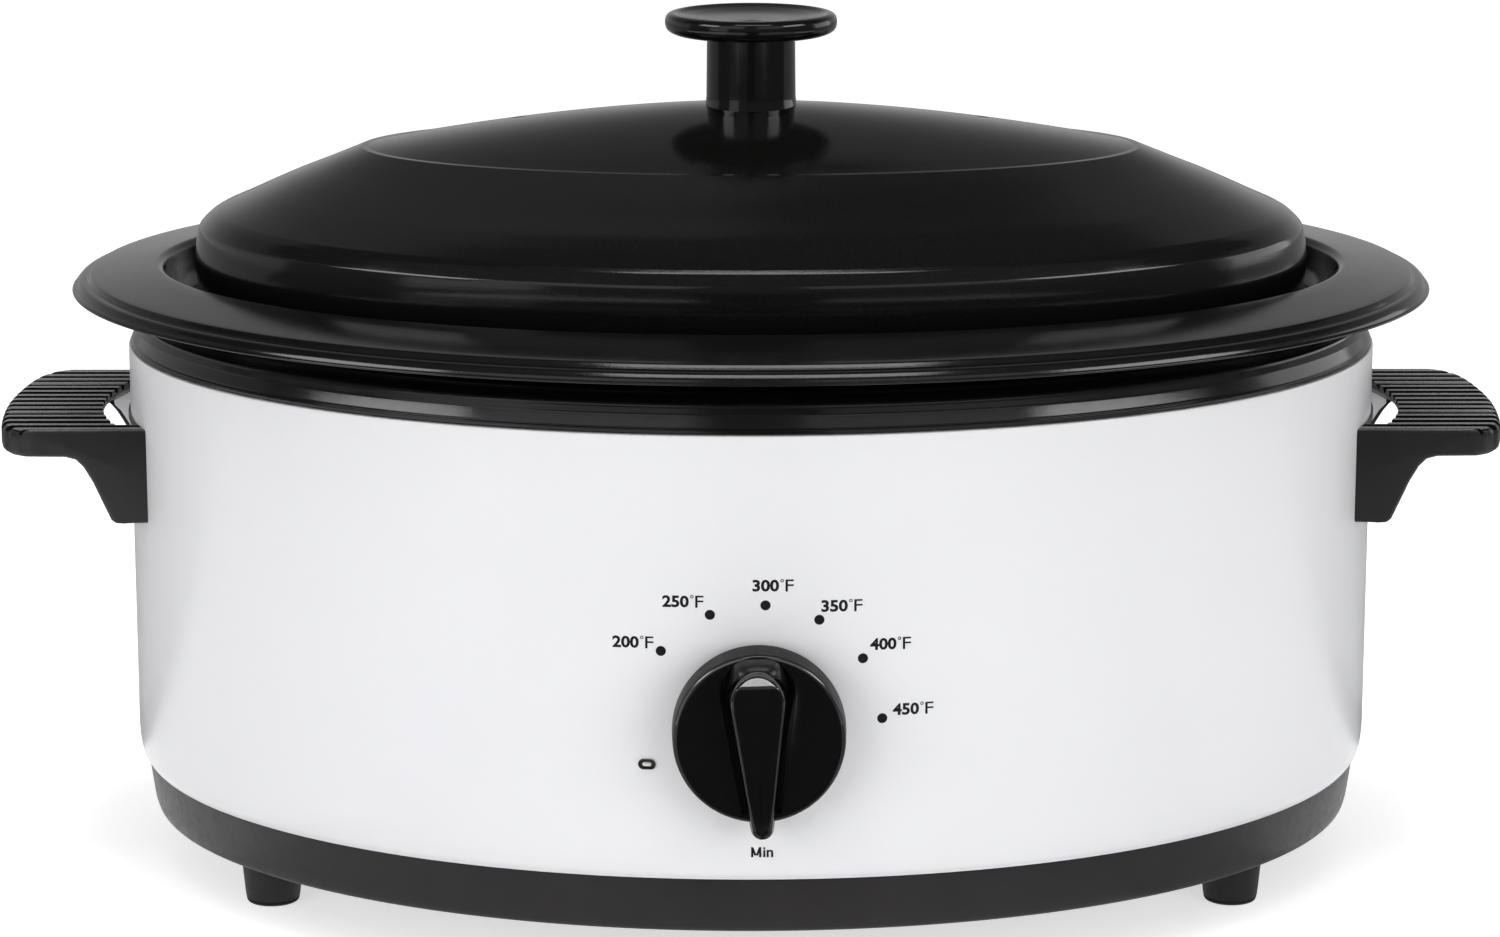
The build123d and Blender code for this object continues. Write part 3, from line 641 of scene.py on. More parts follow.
def finishes():
    """Every finish by its plain name, made once."""
    if not LOOKS:
        colours = bpy.context.scene.roaster_colours
        LOOKS.update(
            white_enamel=white_enamel(),
            black_enamel=black_enamel(fleck=0.4),
            band_enamel=black_enamel("band_enamel", (0.1, 0.18), 0.5, 0.008),
            base_plastic=moulded_plastic("base_plastic", tuple(colours.base)),
            handle_plastic=moulded_plastic("handle_plastic", tuple(colours.handle), (0.33, 0.45)),
            # painted highlight: a lighter grey for the upward rib tops, where the light falls
            worn_ribs=moulded_plastic("worn_ribs", (0.13, 0.122, 0.125), (0.22, 0.32)),
            pilot_window=moulded_plastic("pilot_window", (0.78, 0.73, 0.65), (0.12, 0.2)),
            foot_plastic=moulded_plastic("foot_plastic", tuple(colours.base), (0.5, 0.65), 0.04),
            grommet_plastic=moulded_plastic("grommet_plastic", (0.02, 0.02, 0.02)),
            knob_plastic=gloss_plastic("knob_plastic", tuple(colours.knob)),
            knob_rim=knob_rim(tuple(colours.knob)),
            knob_glint=knob_glint(),
            knob_hood=moulded_plastic("knob_hood", tuple(colours.knob), (0.28, 0.36), 0.006),
            # painted shade: near-black, rough and barely reflective for the grooves between the
            # ribs
            rib_grooves=moulded_plastic("rib_grooves", (0.0015, 0.0013, 0.0013), (0.6, 0.75),
                                        0.02, 0.04),
            steel=plated_metal("steel", (0.55, 0.55, 0.54), 0.32),
            rack_chrome=plated_metal("rack_chrome", (0.72, 0.72, 0.73), 0.12, (8.0, 8.0, 8.0)),
            bright_plate=plated_metal("bright_plate", (0.7, 0.7, 0.71), 0.28, (1.0, 12.0, 1.0)),
            brass=plated_metal("brass", (0.72, 0.56, 0.25), 0.25),
            lead_sleeve=woven_sleeve("lead_sleeve", (0.62, 0.6, 0.53)),
            heater_mica=woven_sleeve("heater_mica", (0.3, 0.25, 0.19)),
            glass_fibre=matted_fibre("glass_fibre", (0.78, 0.74, 0.6)),
            ceramic_block=fired_clay("ceramic_block", (0.72, 0.68, 0.6)),
            clear_lens=clear_plastic("clear_lens", (0.78, 0.74, 0.7)),
            neon_glass=clear_plastic("neon_glass", (0.85, 0.62, 0.5)),
            print_ink=printed_ink())
    return LOOKS


# ---- Operators ------------------------------------------------------------------------

class PieceOperator:
    """Shared running of an operator that makes pieces of the roaster."""
    bl_options = {"REGISTER", "UNDO"}

    def execute(self, context):
        scene = context.scene
        sizes = SimpleNamespace(body=in_mm(scene.roaster_body), pan=in_mm(scene.roaster_pan),
                                lid=in_mm(scene.roaster_lid), handle=in_mm(scene.roaster_handles),
                                control=in_mm(scene.roaster_control), stage=scene.roaster_stage)
        self.build(sizes, finishes())
        return {"FINISHED"}


def math_node(tree, operation, first, second):
    """Result of a sum on two sockets, or on a socket and a number."""
    node = shader_node(tree, "ShaderNodeMath", (first,))
    node.operation = operation
    if isinstance(second, bpy.types.NodeSocket):
        tree.links.new(second, node.inputs[1])
    else:
        node.inputs[1].default_value = second
    return node.outputs[0]


def seen_directly(tree):
    """Socket that is 1 for camera, glossy and transmission rays."""
    path = tree.nodes.new("ShaderNodeLightPath")
    total = path.outputs["Is Camera Ray"]
    for ray in ("Is Glossy Ray", "Is Transmission Ray"):
        total = math_node(tree, "MAXIMUM", total, path.outputs[ray])
    return total


def level(z, *spots):
    """Corners of a card that lies flat at that height."""
    return [(x, y, z) for x, y in spots]


def oblong(z, x0, y0, x1, y1):
    """Corners of a flat card with straight sides."""
    return level(z, (x0, y0), (x1, y0), (x1, y1), (x0, y1))


def standing(low, high, start, end):
    """Corners of an upright card between two ends seen from above."""
    return [(*start, low), (*end, low), (*end, high), (*start, high)]


class ROASTER_OT_stage(PieceOperator, bpy.types.Operator):
    """Floor, world, lights and camera"""
    bl_idname = "roaster.stage"
    bl_label = "Stage"

    def build(self, sizes, looks):
        self.camera(sizes.stage)
        self.floor()
        self.world(sizes.stage.fill)
        middle, stage = (0, 0, 0.12), sizes.stage
        for side in (-1, 1):
            name = "left" if side < 0 else "right"
            self.softbox("front_light_" + name, (side * 1.0, -1.35, 0.4), middle, 1.1, 0.75,
                         stage.key)
            self.softbox("rear_light_" + name, (side * 1.5, 0.9, 0.55), middle, 0.9, 0.8,
                         stage.rear)
        self.softbox("top_light", (0, -0.15, 1.2), middle, 0.8, 0.35, stage.top)
        self.surroundings()

    def surroundings(self):
        """What only reflections see: a tent that pales to the horizon, floors, panels and flags."""
        for name, side, greys in (
                ("tent_back", 1, [(0.0, 0.5), (0.21, 0.44), (0.34, 0.3), (0.47, 0.19), (0.6, 0.15),
                                  (1.0, 0.13)]),
                ("tent_front", -1, [(0.0, 0.14), (1.0, 0.12)])):
            tent = bmesh.new()
            bmesh.ops.create_uvsphere(tent, u_segments=48, v_segments=24, radius=TENT)
            away = [v for v in tent.verts if v.co.z < -0.01 or v.co.y * side < -0.01]
            bmesh.ops.delete(tent, geom=away, context="VERTS")
            self.flag(name, tent, greys)
        for name, glow, corners in (
                ("far_floor", 0.1, oblong(0.0008, -7, -7, 7, 0.2)),
                ("back_floor", 0.3, oblong(0.001, -7, 0.14, 7, 7)),
                ("front_floor", 0.75, oblong(0.0015, -0.9, -1.25, 0.12, 0.0)),
                ("right_front_floor", 0.55, oblong(0.0015, 0.12, -1.25, 0.9, 0.0)),
                ("front_left_wall", 0.85, [(-0.4, -2.26, 0.68), (-1.6, -1.65, 0.68),
                                           (-1.6, -1.65, 2.5), (-0.3, -2.28, 2.5)]),
                ("front_right_wall", 0.65, standing(0.68, 2.5, (0.34, -2.28), (1.6, -1.65))),
                ("left_floor", 1.2, level(0.002, (-0.9, -0.85), (-0.5, -0.85), (-0.17, -0.06),
                                          (-0.19, 0.08), (-0.9, 0.1))),
                ("right_floor", 1.1, level(0.002, (0.9, -0.5), (0.17, -0.06), (0.19, 0.08),
                                           (0.9, 0.1))),
                ("dark_tongue", 0.04, level(0.003, (-0.05, -0.205), (0.06, -0.205), (0.13, -0.75),
                                            (0.5, -2.5), (-0.5, -2.5), (-0.07, -0.75))),
                ("front_left_panel", 0.8, standing(0.01, 0.7, (-1.9, -1.25), (-1.3, -2.1))),
                ("left_softbox", 5.2, standing(1.12, 2.0, (-2.05, -0.42), (-1.62, -1.48))),
                ("right_softbox", 5.2, standing(1.12, 2.0, (2.07, -0.3), (1.62, -1.48))),
                ("right_panel", 1.6, standing(0.12, 0.8, (1.9, 0.15), (1.5, 1.3))),
                ("strip_panel", 4.6, oblong(1.2, -0.27, -0.44, 0.34, -0.27)),
                ("roof", 0.045, level(1.22, (-1.6, -0.1), (1.6, -0.1), (1.6, 1.1), (0.1, 0.95),
                                      (-0.05, 0.78), (-1.6, 0.7)))):
            card = bmesh.new()
            card.faces.new([card.verts.new(corner) for corner in corners])
            self.flag(name, card, [(0.0, glow), (1.0, glow)])

    def flag(self, name, shape, greys):
        """Card seen in mirror paths only; its glow goes by its height, as a share of the tent's."""
        card = placed(name, bpy.data.meshes.new(name))
        shape.to_mesh(card.data)
        shape.free()
        material = bpy.data.materials.new(name)
        tree = new_tree(material)
        place = tree.nodes.new("ShaderNodeTexCoord").outputs["Object"]
        height = shader_node(tree, "ShaderNodeSeparateXYZ", (place,)).outputs["Z"]
        share = math_node(tree, "DIVIDE", height, TENT)
        ramp = shader_node(tree, "ShaderNodeValToRGB", (share,))
        stops = ramp.color_ramp.elements
        while len(stops) < len(greys):
            stops.new(0.5)
        most = max(grey for _, grey in greys)
        for stop, (at, grey) in zip(stops, greys):
            stop.position = at
            stop.color = (grey / most, grey / most, grey / most, 1)
        depth = tree.nodes.new("ShaderNodeLightPath").outputs["Diffuse Depth"]
        power = math_node(tree, "MULTIPLY", math_node(tree, "LESS_THAN", depth, 0.5), most)
        cloth = shader_node(tree, "ShaderNodeEmission", (ramp.outputs[0], power))
        shader_node(tree, "ShaderNodeOutputMaterial", (cloth.outputs[0],))
        card.data.materials.append(material)
        card.visible_camera = False
        card.visible_diffuse = False
        card.visible_transmission = False
        card.visible_shadow = False

    def camera(self, stage):
        """Camera in front of the roaster, tilted down."""
        data = bpy.data.cameras.new("camera")
        data.sensor_fit = "HORIZONTAL"
        data.sensor_width = 36
        data.lens = stage.focal
        data.clip_end = 50
        camera = placed("camera", data)
        camera.location = (stage.camera_side, -stage.camera_back, stage.camera_height)
        camera.rotation_euler = (math.pi / 2 - stage.camera_pitch, 0, stage.camera_turn)
        bpy.context.scene.camera = camera

    def floor(self):
        """Large pale floor that shows white to the camera and keeps the object's shadow."""
        floor = placed("floor", bpy.data.meshes.new("floor"))
        shape = bmesh.new()
        bmesh.ops.create_grid(shape, x_segments=8, y_segments=8, size=12)
        shape.to_mesh(floor.data)
        shape.free()
        material = bpy.data.materials.new("floor_paper")
        material.use_nodes = True
        tree = material.node_tree
        paper = next(n for n in tree.nodes if n.type == "BSDF_PRINCIPLED")
        paper.inputs["Base Color"].default_value = (0.86, 0.86, 0.86, 1)
        paper.inputs["Roughness"].default_value = 0.9
        paper.inputs["Specular IOR Level"].default_value = 0.1
        glow = shader_node(tree, "ShaderNodeEmission", Strength=0.62)
        both = shader_node(tree, "ShaderNodeAddShader", (paper.outputs[0], glow.outputs[0]))
        pick = shader_node(tree, "ShaderNodeMixShader",
                           (seen_directly(tree), paper.outputs[0], both.outputs[0]))
        end = next(n for n in tree.nodes if n.type == "OUTPUT_MATERIAL")
        tree.links.new(pick.outputs[0], end.inputs["Surface"])
        floor.data.materials.append(material)

    def world(self, strength):
        """White where it is seen, and a soft grey where it lights the object."""
        world = bpy.data.worlds.new("studio")
        bpy.context.scene.world = world
        tree = new_tree(world)
        fill, seen = (shader_node(tree, "ShaderNodeBackground", Color=(1, 1, 1, 1), Strength=level)
                      for level in (strength, 1.0))
        pick = shader_node(tree, "ShaderNodeMixShader",
                           (seen_directly(tree), fill.outputs[0], seen.outputs[0]))
        shader_node(tree, "ShaderNodeOutputWorld", (pick.outputs[0],))

    def softbox(self, name, place, aim, wide, high, watts):
        """Rectangular lamp that no reflection shows."""
        data = bpy.data.lights.new(name, "AREA")
        data.shape = "RECTANGLE"
        data.size, data.size_y = wide, high
        data.energy = watts
        light = placed(name, data)
        light.location = place
        light.rotation_mode = "QUATERNION"
        light.rotation_quaternion = (Vector(aim) - Vector(place)).to_track_quat("-Z", "Y")
        light.visible_glossy = False


class ROASTER_OT_casing(PieceOperator, bpy.types.Operator):
    """White casing with its openings"""
    bl_idname = "roaster.casing"
    bl_label = "Casing"

    def build(self, sizes, looks):
        body, control = sizes.body, sizes.control
        low, high = body.bottom, body.top
        outer = inset(body.half_length, body.half_depth, [
            (2.2, low, 0), (1.0, low + 1.6, 1.2), (0.3, low + 4.5, 1.5), (0.0, low + 9.0, 2.0),
            (0.0, high - 0.5, 0.25), (0.15, high - 0.15, 0.15), (0.5, high - 0.02, 0.15),
            (2.8, high, 0)])
        inner = inset(body.half_length - body.sheet, body.half_depth - body.sheet, [
            (2.8, high + 2.2, 0), (2.8, high - 0.3, 0.6), (0.7, high - 1.8, 0.8),
            (0.0, high - 3.8, 1.0), (0.0, low + 9.0, 2.0), (0.3, low + 4.5, 1.5),
            (1.2, low + 1.4, 0.6), (2.3, low, 0)])
        rise = inset(body.half_length, body.half_depth, [(2.8, high + 2.2, 0)])
        rings = eased(outer) + [ring[:3] for ring in rise] + eased(inner)
        casing = new_piece("casing", swept("casing", rings), looks["white_enamel"], "oven",
                           "white_enamel", "outer_shell")
        front = -body.half_depth - 5, -body.half_depth + 12
        back = body.half_depth - 12, body.half_depth + 5
        holes = [
            cutter_of("shaft_hole", circle(5, 40, control.dial_x, control.dial_z), *front, along_y),
            cutter_of("light_hole", slot_outline(4.4, 2.65, control.pilot_x, control.pilot_z),
                      *front, along_y),
            cutter_of("cord_hole", circle(6.5, 40, 0, 52), *back, along_y)]
        arm_y, screw_z = 40.8, 116
        for side in (-1, 1):
            for y in (-arm_y, arm_y):
                wall = sorted((side * (body.half_length - 15), side * (body.half_length + 5)))
                holes.append(cutter_of("screw_hole", circle(2.2, 24, y, screw_z), *wall, along_x))
        cut_holes(casing, *holes)


class ROASTER_OT_liner(PieceOperator, bpy.types.Operator):
    """Black rim band and the fixed inner pan"""
    bl_idname = "roaster.liner"
    bl_label = "Liner and band"

    def build(self, sizes, looks):
        body = sizes.body
        low, high, thick = body.top, body.band_top, body.sheet
        floor = body.liner_floor
        band = inset(body.half_length, body.half_depth, [
            (2.05, low + 0.1, 0), (1.1, low + 0.05, 0.2), (0.75, low + 0.4, 0.2),
            (0.75, low + 1.35, 0.25), (1.1, low + 1.6, 0.2), (1.15, low + 2.0, 0.3),
            (2.58, low + 5.0, 0.4), (2.62, low + 7.2, 0.5), (3.0, low + 8.0, 0.4),
            (4.4, low + 8.4, 0.6), (8.5, high, 2.0)])
        wall = inset(body.liner_half_length, body.liner_half_depth, [
            (0.0, high, 1.4), (0.0, floor + 15, 6), (1.6, floor + 8.5, 3.5),
            (5.4, floor + 3.2, 3.5), (14, floor, 4)])
        under = inset(body.liner_half_length + thick, body.liner_half_depth + thick, [
            (14, floor - thick, 4), (5.2, floor + 2.5, 3.5), (1.5, floor + 8.2, 3.5),
            (0.0, floor + 15, 6), (0.0, high - thick, 1.0)])
        inside = inset(body.half_length, body.half_depth, [
            (9.0, high - thick, 1.2), (4.6, low + 7.55, 0.6), (3.6, low + 7.2, 0.5),
            (3.35, low + 6.6, 0.4), (3.3, low + 5.1, 0.4), (2.1, low + 2.2, 0.4),
            (2.05, low + 0.1, 0)])
        rings = eased(band + wall + [(0.4, 0.3, floor, 0)])
        rings += eased([(0.4, 0.3, floor - thick, 0)] + under + inside)
        new_piece("liner_pan", swept("liner_pan", rings), looks["band_enamel"], "oven",
                  "black_enamel", "liner")


class ROASTER_OT_base(PieceOperator, bpy.types.Operator):
    """Moulded base and four feet"""
    bl_idname = "roaster.base"
    bl_label = "Base and feet"

    def build(self, sizes, looks):
        body = sizes.body
        low, high = body.base_bottom, body.bottom
        floor = low + body.base_wall
        outer = inset(body.half_length, body.half_depth, [
            (7.6, low, 0), (5.2, low + 0.5, 1.6), (4.2, low + 3.4, 1.8), (3.4, low + 9, 3),
            (2.5, high - 0.2, 0.3), (3.3, high, 0.2), (3.3, high + 6, 0.3), (5.9, high + 6, 0.3)])
        inner = inset(body.half_length, body.half_depth, [
            (5.95, floor + 4, 2.5), (8.5, floor, 2.5)])
        rings = eased(outer + inner + [(0.4, 0.3, floor, 0)]) + [(0.4, 0.3, low)]
        base = new_piece("base_tray", swept("base_tray", rings), looks["base_plastic"],
                         "oven", "base_plastic", "base_pan")
        places = [(x, y) for x in (-body.foot_x, body.foot_x) for y in (-body.foot_y, body.foot_y)]
        holes = [cutter_of("screw_hole", circle(1.9, 24, x, y), low - 1, floor + 1, upright)
                 for x, y in places]
        stud_x = 70
        holes += [cutter_of("stud_hole", circle(2.7, 24, x, 0), low - 1, floor + 1, upright)
                  for x in (-stud_x, stud_x)]
        cut_holes(base, *holes)
        for x, y in places:
            name = ("front_" if y < 0 else "rear_") + ("left" if x < 0 else "right")
            self.foot(name, x, y, body, looks)

    def foot(self, name, x, y, body, looks):
        """Turned foot under the base, with a hole for its screw."""
        radius, top, turns = body.foot_bottom, body.base_bottom - 0.02, 64
        rings = turned([(0.2, 0.0, 0), (radius - 1.6, 0.0, 0), (radius - 0.2, 0.25, 0.9),
                        (radius + 0.25, 2.6, 1.2), (body.foot_top, top, 0), (1.7, top, 0),
                        (1.7, 4, 0), (0.2, 4, 0)])
        points = [(x + px, y + py, pz) for px, py, pz in oval_points(rings, turns)]
        mesh = mesh_of("foot", points, capped_faces(len(rings), turns))
        new_piece("rubber_foot_" + name, mesh, looks["foot_plastic"],
                  "oven", "foot_plastic", "foot_" + name)


class ROASTER_OT_cookwell(PieceOperator, bpy.types.Operator):
    """Lift-out pan with its drooping rim"""
    bl_idname = "roaster.cookwell"
    bl_label = "Cookwell"

    def build(self, sizes, looks):
        pan, ledge = sizes.pan, sizes.body.band_top
        crest, thick, below = pan.rim_crest, pan.enamel, pan.well_floor
        floor = below + thick
        rim = pan.rim_half_length, pan.rim_half_depth, pan.rim_edge
        recess = pan.recess_half_length, pan.recess_half_depth
        well = pan.well_half_length, pan.well_half_depth
        top = [(0.4, 0.3, floor, 0)]
        top += inset(*well, [(16, floor, 6), (6.0, floor + 4.5, 5), (3.0, floor + 12.3, 5),
                             (0.0, ledge - 4, 2), (-3.6, ledge + thick, 1.6)])
        top += about(*recess, ledge, (-3.4, -3.4, thick, 1.6), (-1.2, -1.2, 4.5, 2.5))
        top += about(*recess, crest, (0.2, 0.2, -1.0, 1.0), (1.8, 2.2, 0, 1.4), (5.5, 9, -0.35, 3))
        top += about(*rim, (-8.8, -12.5, 6.0, 4), (-5.8, -7.1, 5.55, 0.5),
                     (-5.0, -6.15, 4.55, 0.3), (-4.7, -5.8, 4.15, 0.25), (-3.4, -4.1, 4.05, 0.3),
                     (-2.4, -2.9, 3.8, 0.6), (-1.3, -1.65, 2.5, 0.6), (-0.9, -1.3, 1.7, 0.3),
                     (-0.3, -0.9, 1.25, 0.4))
        under = about(*rim, (-0.4, -1.0, 0.85, 0.3), (-1.5, -1.9, 0.75, 0.4),
                      (-2.2, -2.6, 1.6, 0.6), (-4.6, -5.4, 2.5, 0.8), (-6.6, -8.8, 4.0, 1.0))
        under += about(*recess, crest, (5.5, 9, -1.3, 3), (2.2, 2.6, -0.95, 1.0),
                       (1.1, 1.1, -2.0, 0.8))
        under += about(*recess, ledge, (-0.3, -0.3, 3.6, 2.0), (-2.4, -2.4, 0, 1.2))
        under += inset(*well, [(-4.7, ledge, 1.2), (-0.9, ledge - 4.4, 2), (2.1, below + 12, 5),
                               (5.2, below + 4.1, 5), (15.6, below, 6)])
        under += [(0.4, 0.3, below, 0)]
        new_piece("roasting_pan", swept("roasting_pan", eased(top + under)), looks["black_enamel"],
                  "cookwell", "black_enamel", "cookwell")


class ROASTER_OT_rack(PieceOperator, bpy.types.Operator):
    """Wire rack in the cookwell"""
    bl_idname = "roaster.rack"
    bl_label = "Rack"

    def build(self, sizes, looks):
        pan = sizes.pan
        data = bpy.data.curves.new("wire_rack", "CURVE")
        data.dimensions = "3D"
        data.bevel_depth = pan.wire * MM
        data.bevel_resolution = 4
        data.use_fill_caps = True
        half_a, half_b, z = pan.rack_half_length, pan.rack_half_depth, pan.rack_height
        ring = [(half_a * math.cos(math.pi * step / 48), half_b * math.sin(math.pi * step / 48), z)
                for step in range(96)]
        self.wire(data, ring, 1.0, True)
        for number in range(1, 8):
            y = -half_b + number * half_b / 4
            reach = side_of(half_a, half_b, y)
            self.wire(data, [(-reach, y, z), (0, y, z), (reach, y, z)], 0.75)
        for x in (-60, 60):
            reach = -front_of(half_a, half_b, x)
            self.wire(data, [(x, -reach, z - 1), (x, 0, z - 1), (x, reach, z - 1)], 0.75)
            for y in (-reach, reach):
                self.wire(data, [(x, y, z), (x, y, pan.well_floor + pan.enamel + 0.1)], 1.0)
        rack = placed("wire_rack", data)
        data.materials.append(looks["rack_chrome"])
        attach(rack, "cooking_rack")
        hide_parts("cooking_rack")

    def wire(self, data, points, radius, cyclic=False):
        """One wire of the rack; its radius is a share of the ring's."""
        spline = data.splines.new("POLY")
        spline.points.add(len(points) - 1)
        for spot, point in zip(spline.points, points):
            spot.co = (*to_row(point), 1)
            spot.radius = radius
        spline.use_cyclic_u = cyclic
        spline.use_smooth = True


class ROASTER_OT_lid(PieceOperator, bpy.types.Operator):
    """Domed lid with its steam holes"""
    bl_idname = "roaster.lid"
    bl_label = "Lid"

    def build(self, sizes, looks):
        lid = sizes.lid
        seat = sizes.body.band_top + sizes.pan.enamel
        thick = lid.sheet
        skirt = [(1.5, 1.5, seat + 0.02, 0), (0.5, 0.8, seat + 8, 2), (0.0, 0.4, 177.6, 1.6),
                 (0.6, 0.0, 182.2, 1.6), (1.2, 0.1, 185.4, 1.0), (1.65, 0.32, 186.6, 0.5),
                 (2.9, 1.2, 188.0, 0.6), (4.9, 2.3, 189.8, 0.8), (7.2, 3.6, 191.1, 0.6),
                 (14.0, 10.6, 194.1, 3), (20.2, 18, 197.0, 3),
                 (28, 28, 200.5, 3), (37.5, 38.5, 204.3, 3)]
        crease_a, crease_b = lid.crease_half_length, lid.crease_half_depth
        dome = self.dome(lid)
        outer = eased([(lid.half_length - across, lid.half_depth - along, z, cut)
                       for across, along, z, cut in skirt]
                      + [(crease_a, crease_b, lid.crease, 0.25),
                         (crease_a - lid.ledge, crease_b - lid.ledge, lid.crease + 0.02, 0.25),
                         (*dome[0], 0)], 8)
        outer += dome[1:]
        inner = [(a - thick, b - thick, z - thick) for a, b, z in outer if a > 3]
        inner += [(outer[-1][0], outer[-1][1], outer[-1][2] - thick)]
        inner[0] = (outer[0][0] - thick, outer[0][1] - thick, outer[0][2])
        rings = outer + inner[::-1]
        piece = new_piece("lid_dome", swept("lid_dome", rings), looks["black_enamel"], "lid",
                          "black_enamel", "lid_shell")
        holes = [cutter_of("steam_hole", circle(2.1, 32, x, lid.hole_y), lid.crease - 6,
                           lid.top + 2, upright) for x in (-lid.hole_x, lid.hole_x)]
        cut_holes(piece, *holes)

    def dome(self, lid):
        """Rings of the dome from just inside the crease up to the middle."""
        low = lid.crease
        half_a, half_b = lid.crease_half_length - lid.ledge, lid.crease_half_depth - lid.ledge
        fullness, count, rings = 1.7, 32, []
        for step in range(2, count):
            part = 1 - step / count
            rings.append((half_a * part, half_b * part,
                          low + (lid.top - low) * (1 - part ** fullness)))
        rings.append((0.35, 0.18, lid.top))
        return rings


class ROASTER_OT_lid_knob(PieceOperator, bpy.types.Operator):
    """Knob on the lid"""
    bl_idname = "roaster.lid_knob"
    bl_label = "Lid knob"

    def build(self, sizes, looks):
        lid = sizes.lid
        radius, post, top = lid.knob_radius, lid.post_radius, lid.knob_top
        rings = turned([
            (2.5, lid.top - 0.6, 0), (post + 0.5, lid.top - 1.0, 0),
            (post + 0.1, lid.top + 1.6, 0.8), (post - 0.1, top - 6.7, 0.5),
            (radius - 3.4, top - 6.5, 1.4), (radius - 0.7, top - 5.3, 1.4),
            (radius, top - 3.3, 1.4), (radius - 0.4, top - 0.8, 1.2), (radius - 2.6, top, 1.2),
            (radius - 4.8, top - 0.9, 1.5), (14, top - 2.0, 4), (0.3, top - 2.4, 0)], 8)
        rings += [(r, r, top - 12) for r in (0.3, 2.5)]
        mesh = swept("lid_grip", rings, turns=160)
        new_piece("lid_grip", mesh, looks["knob_plastic"], "lid", "knob_plastic", "lid_knob")


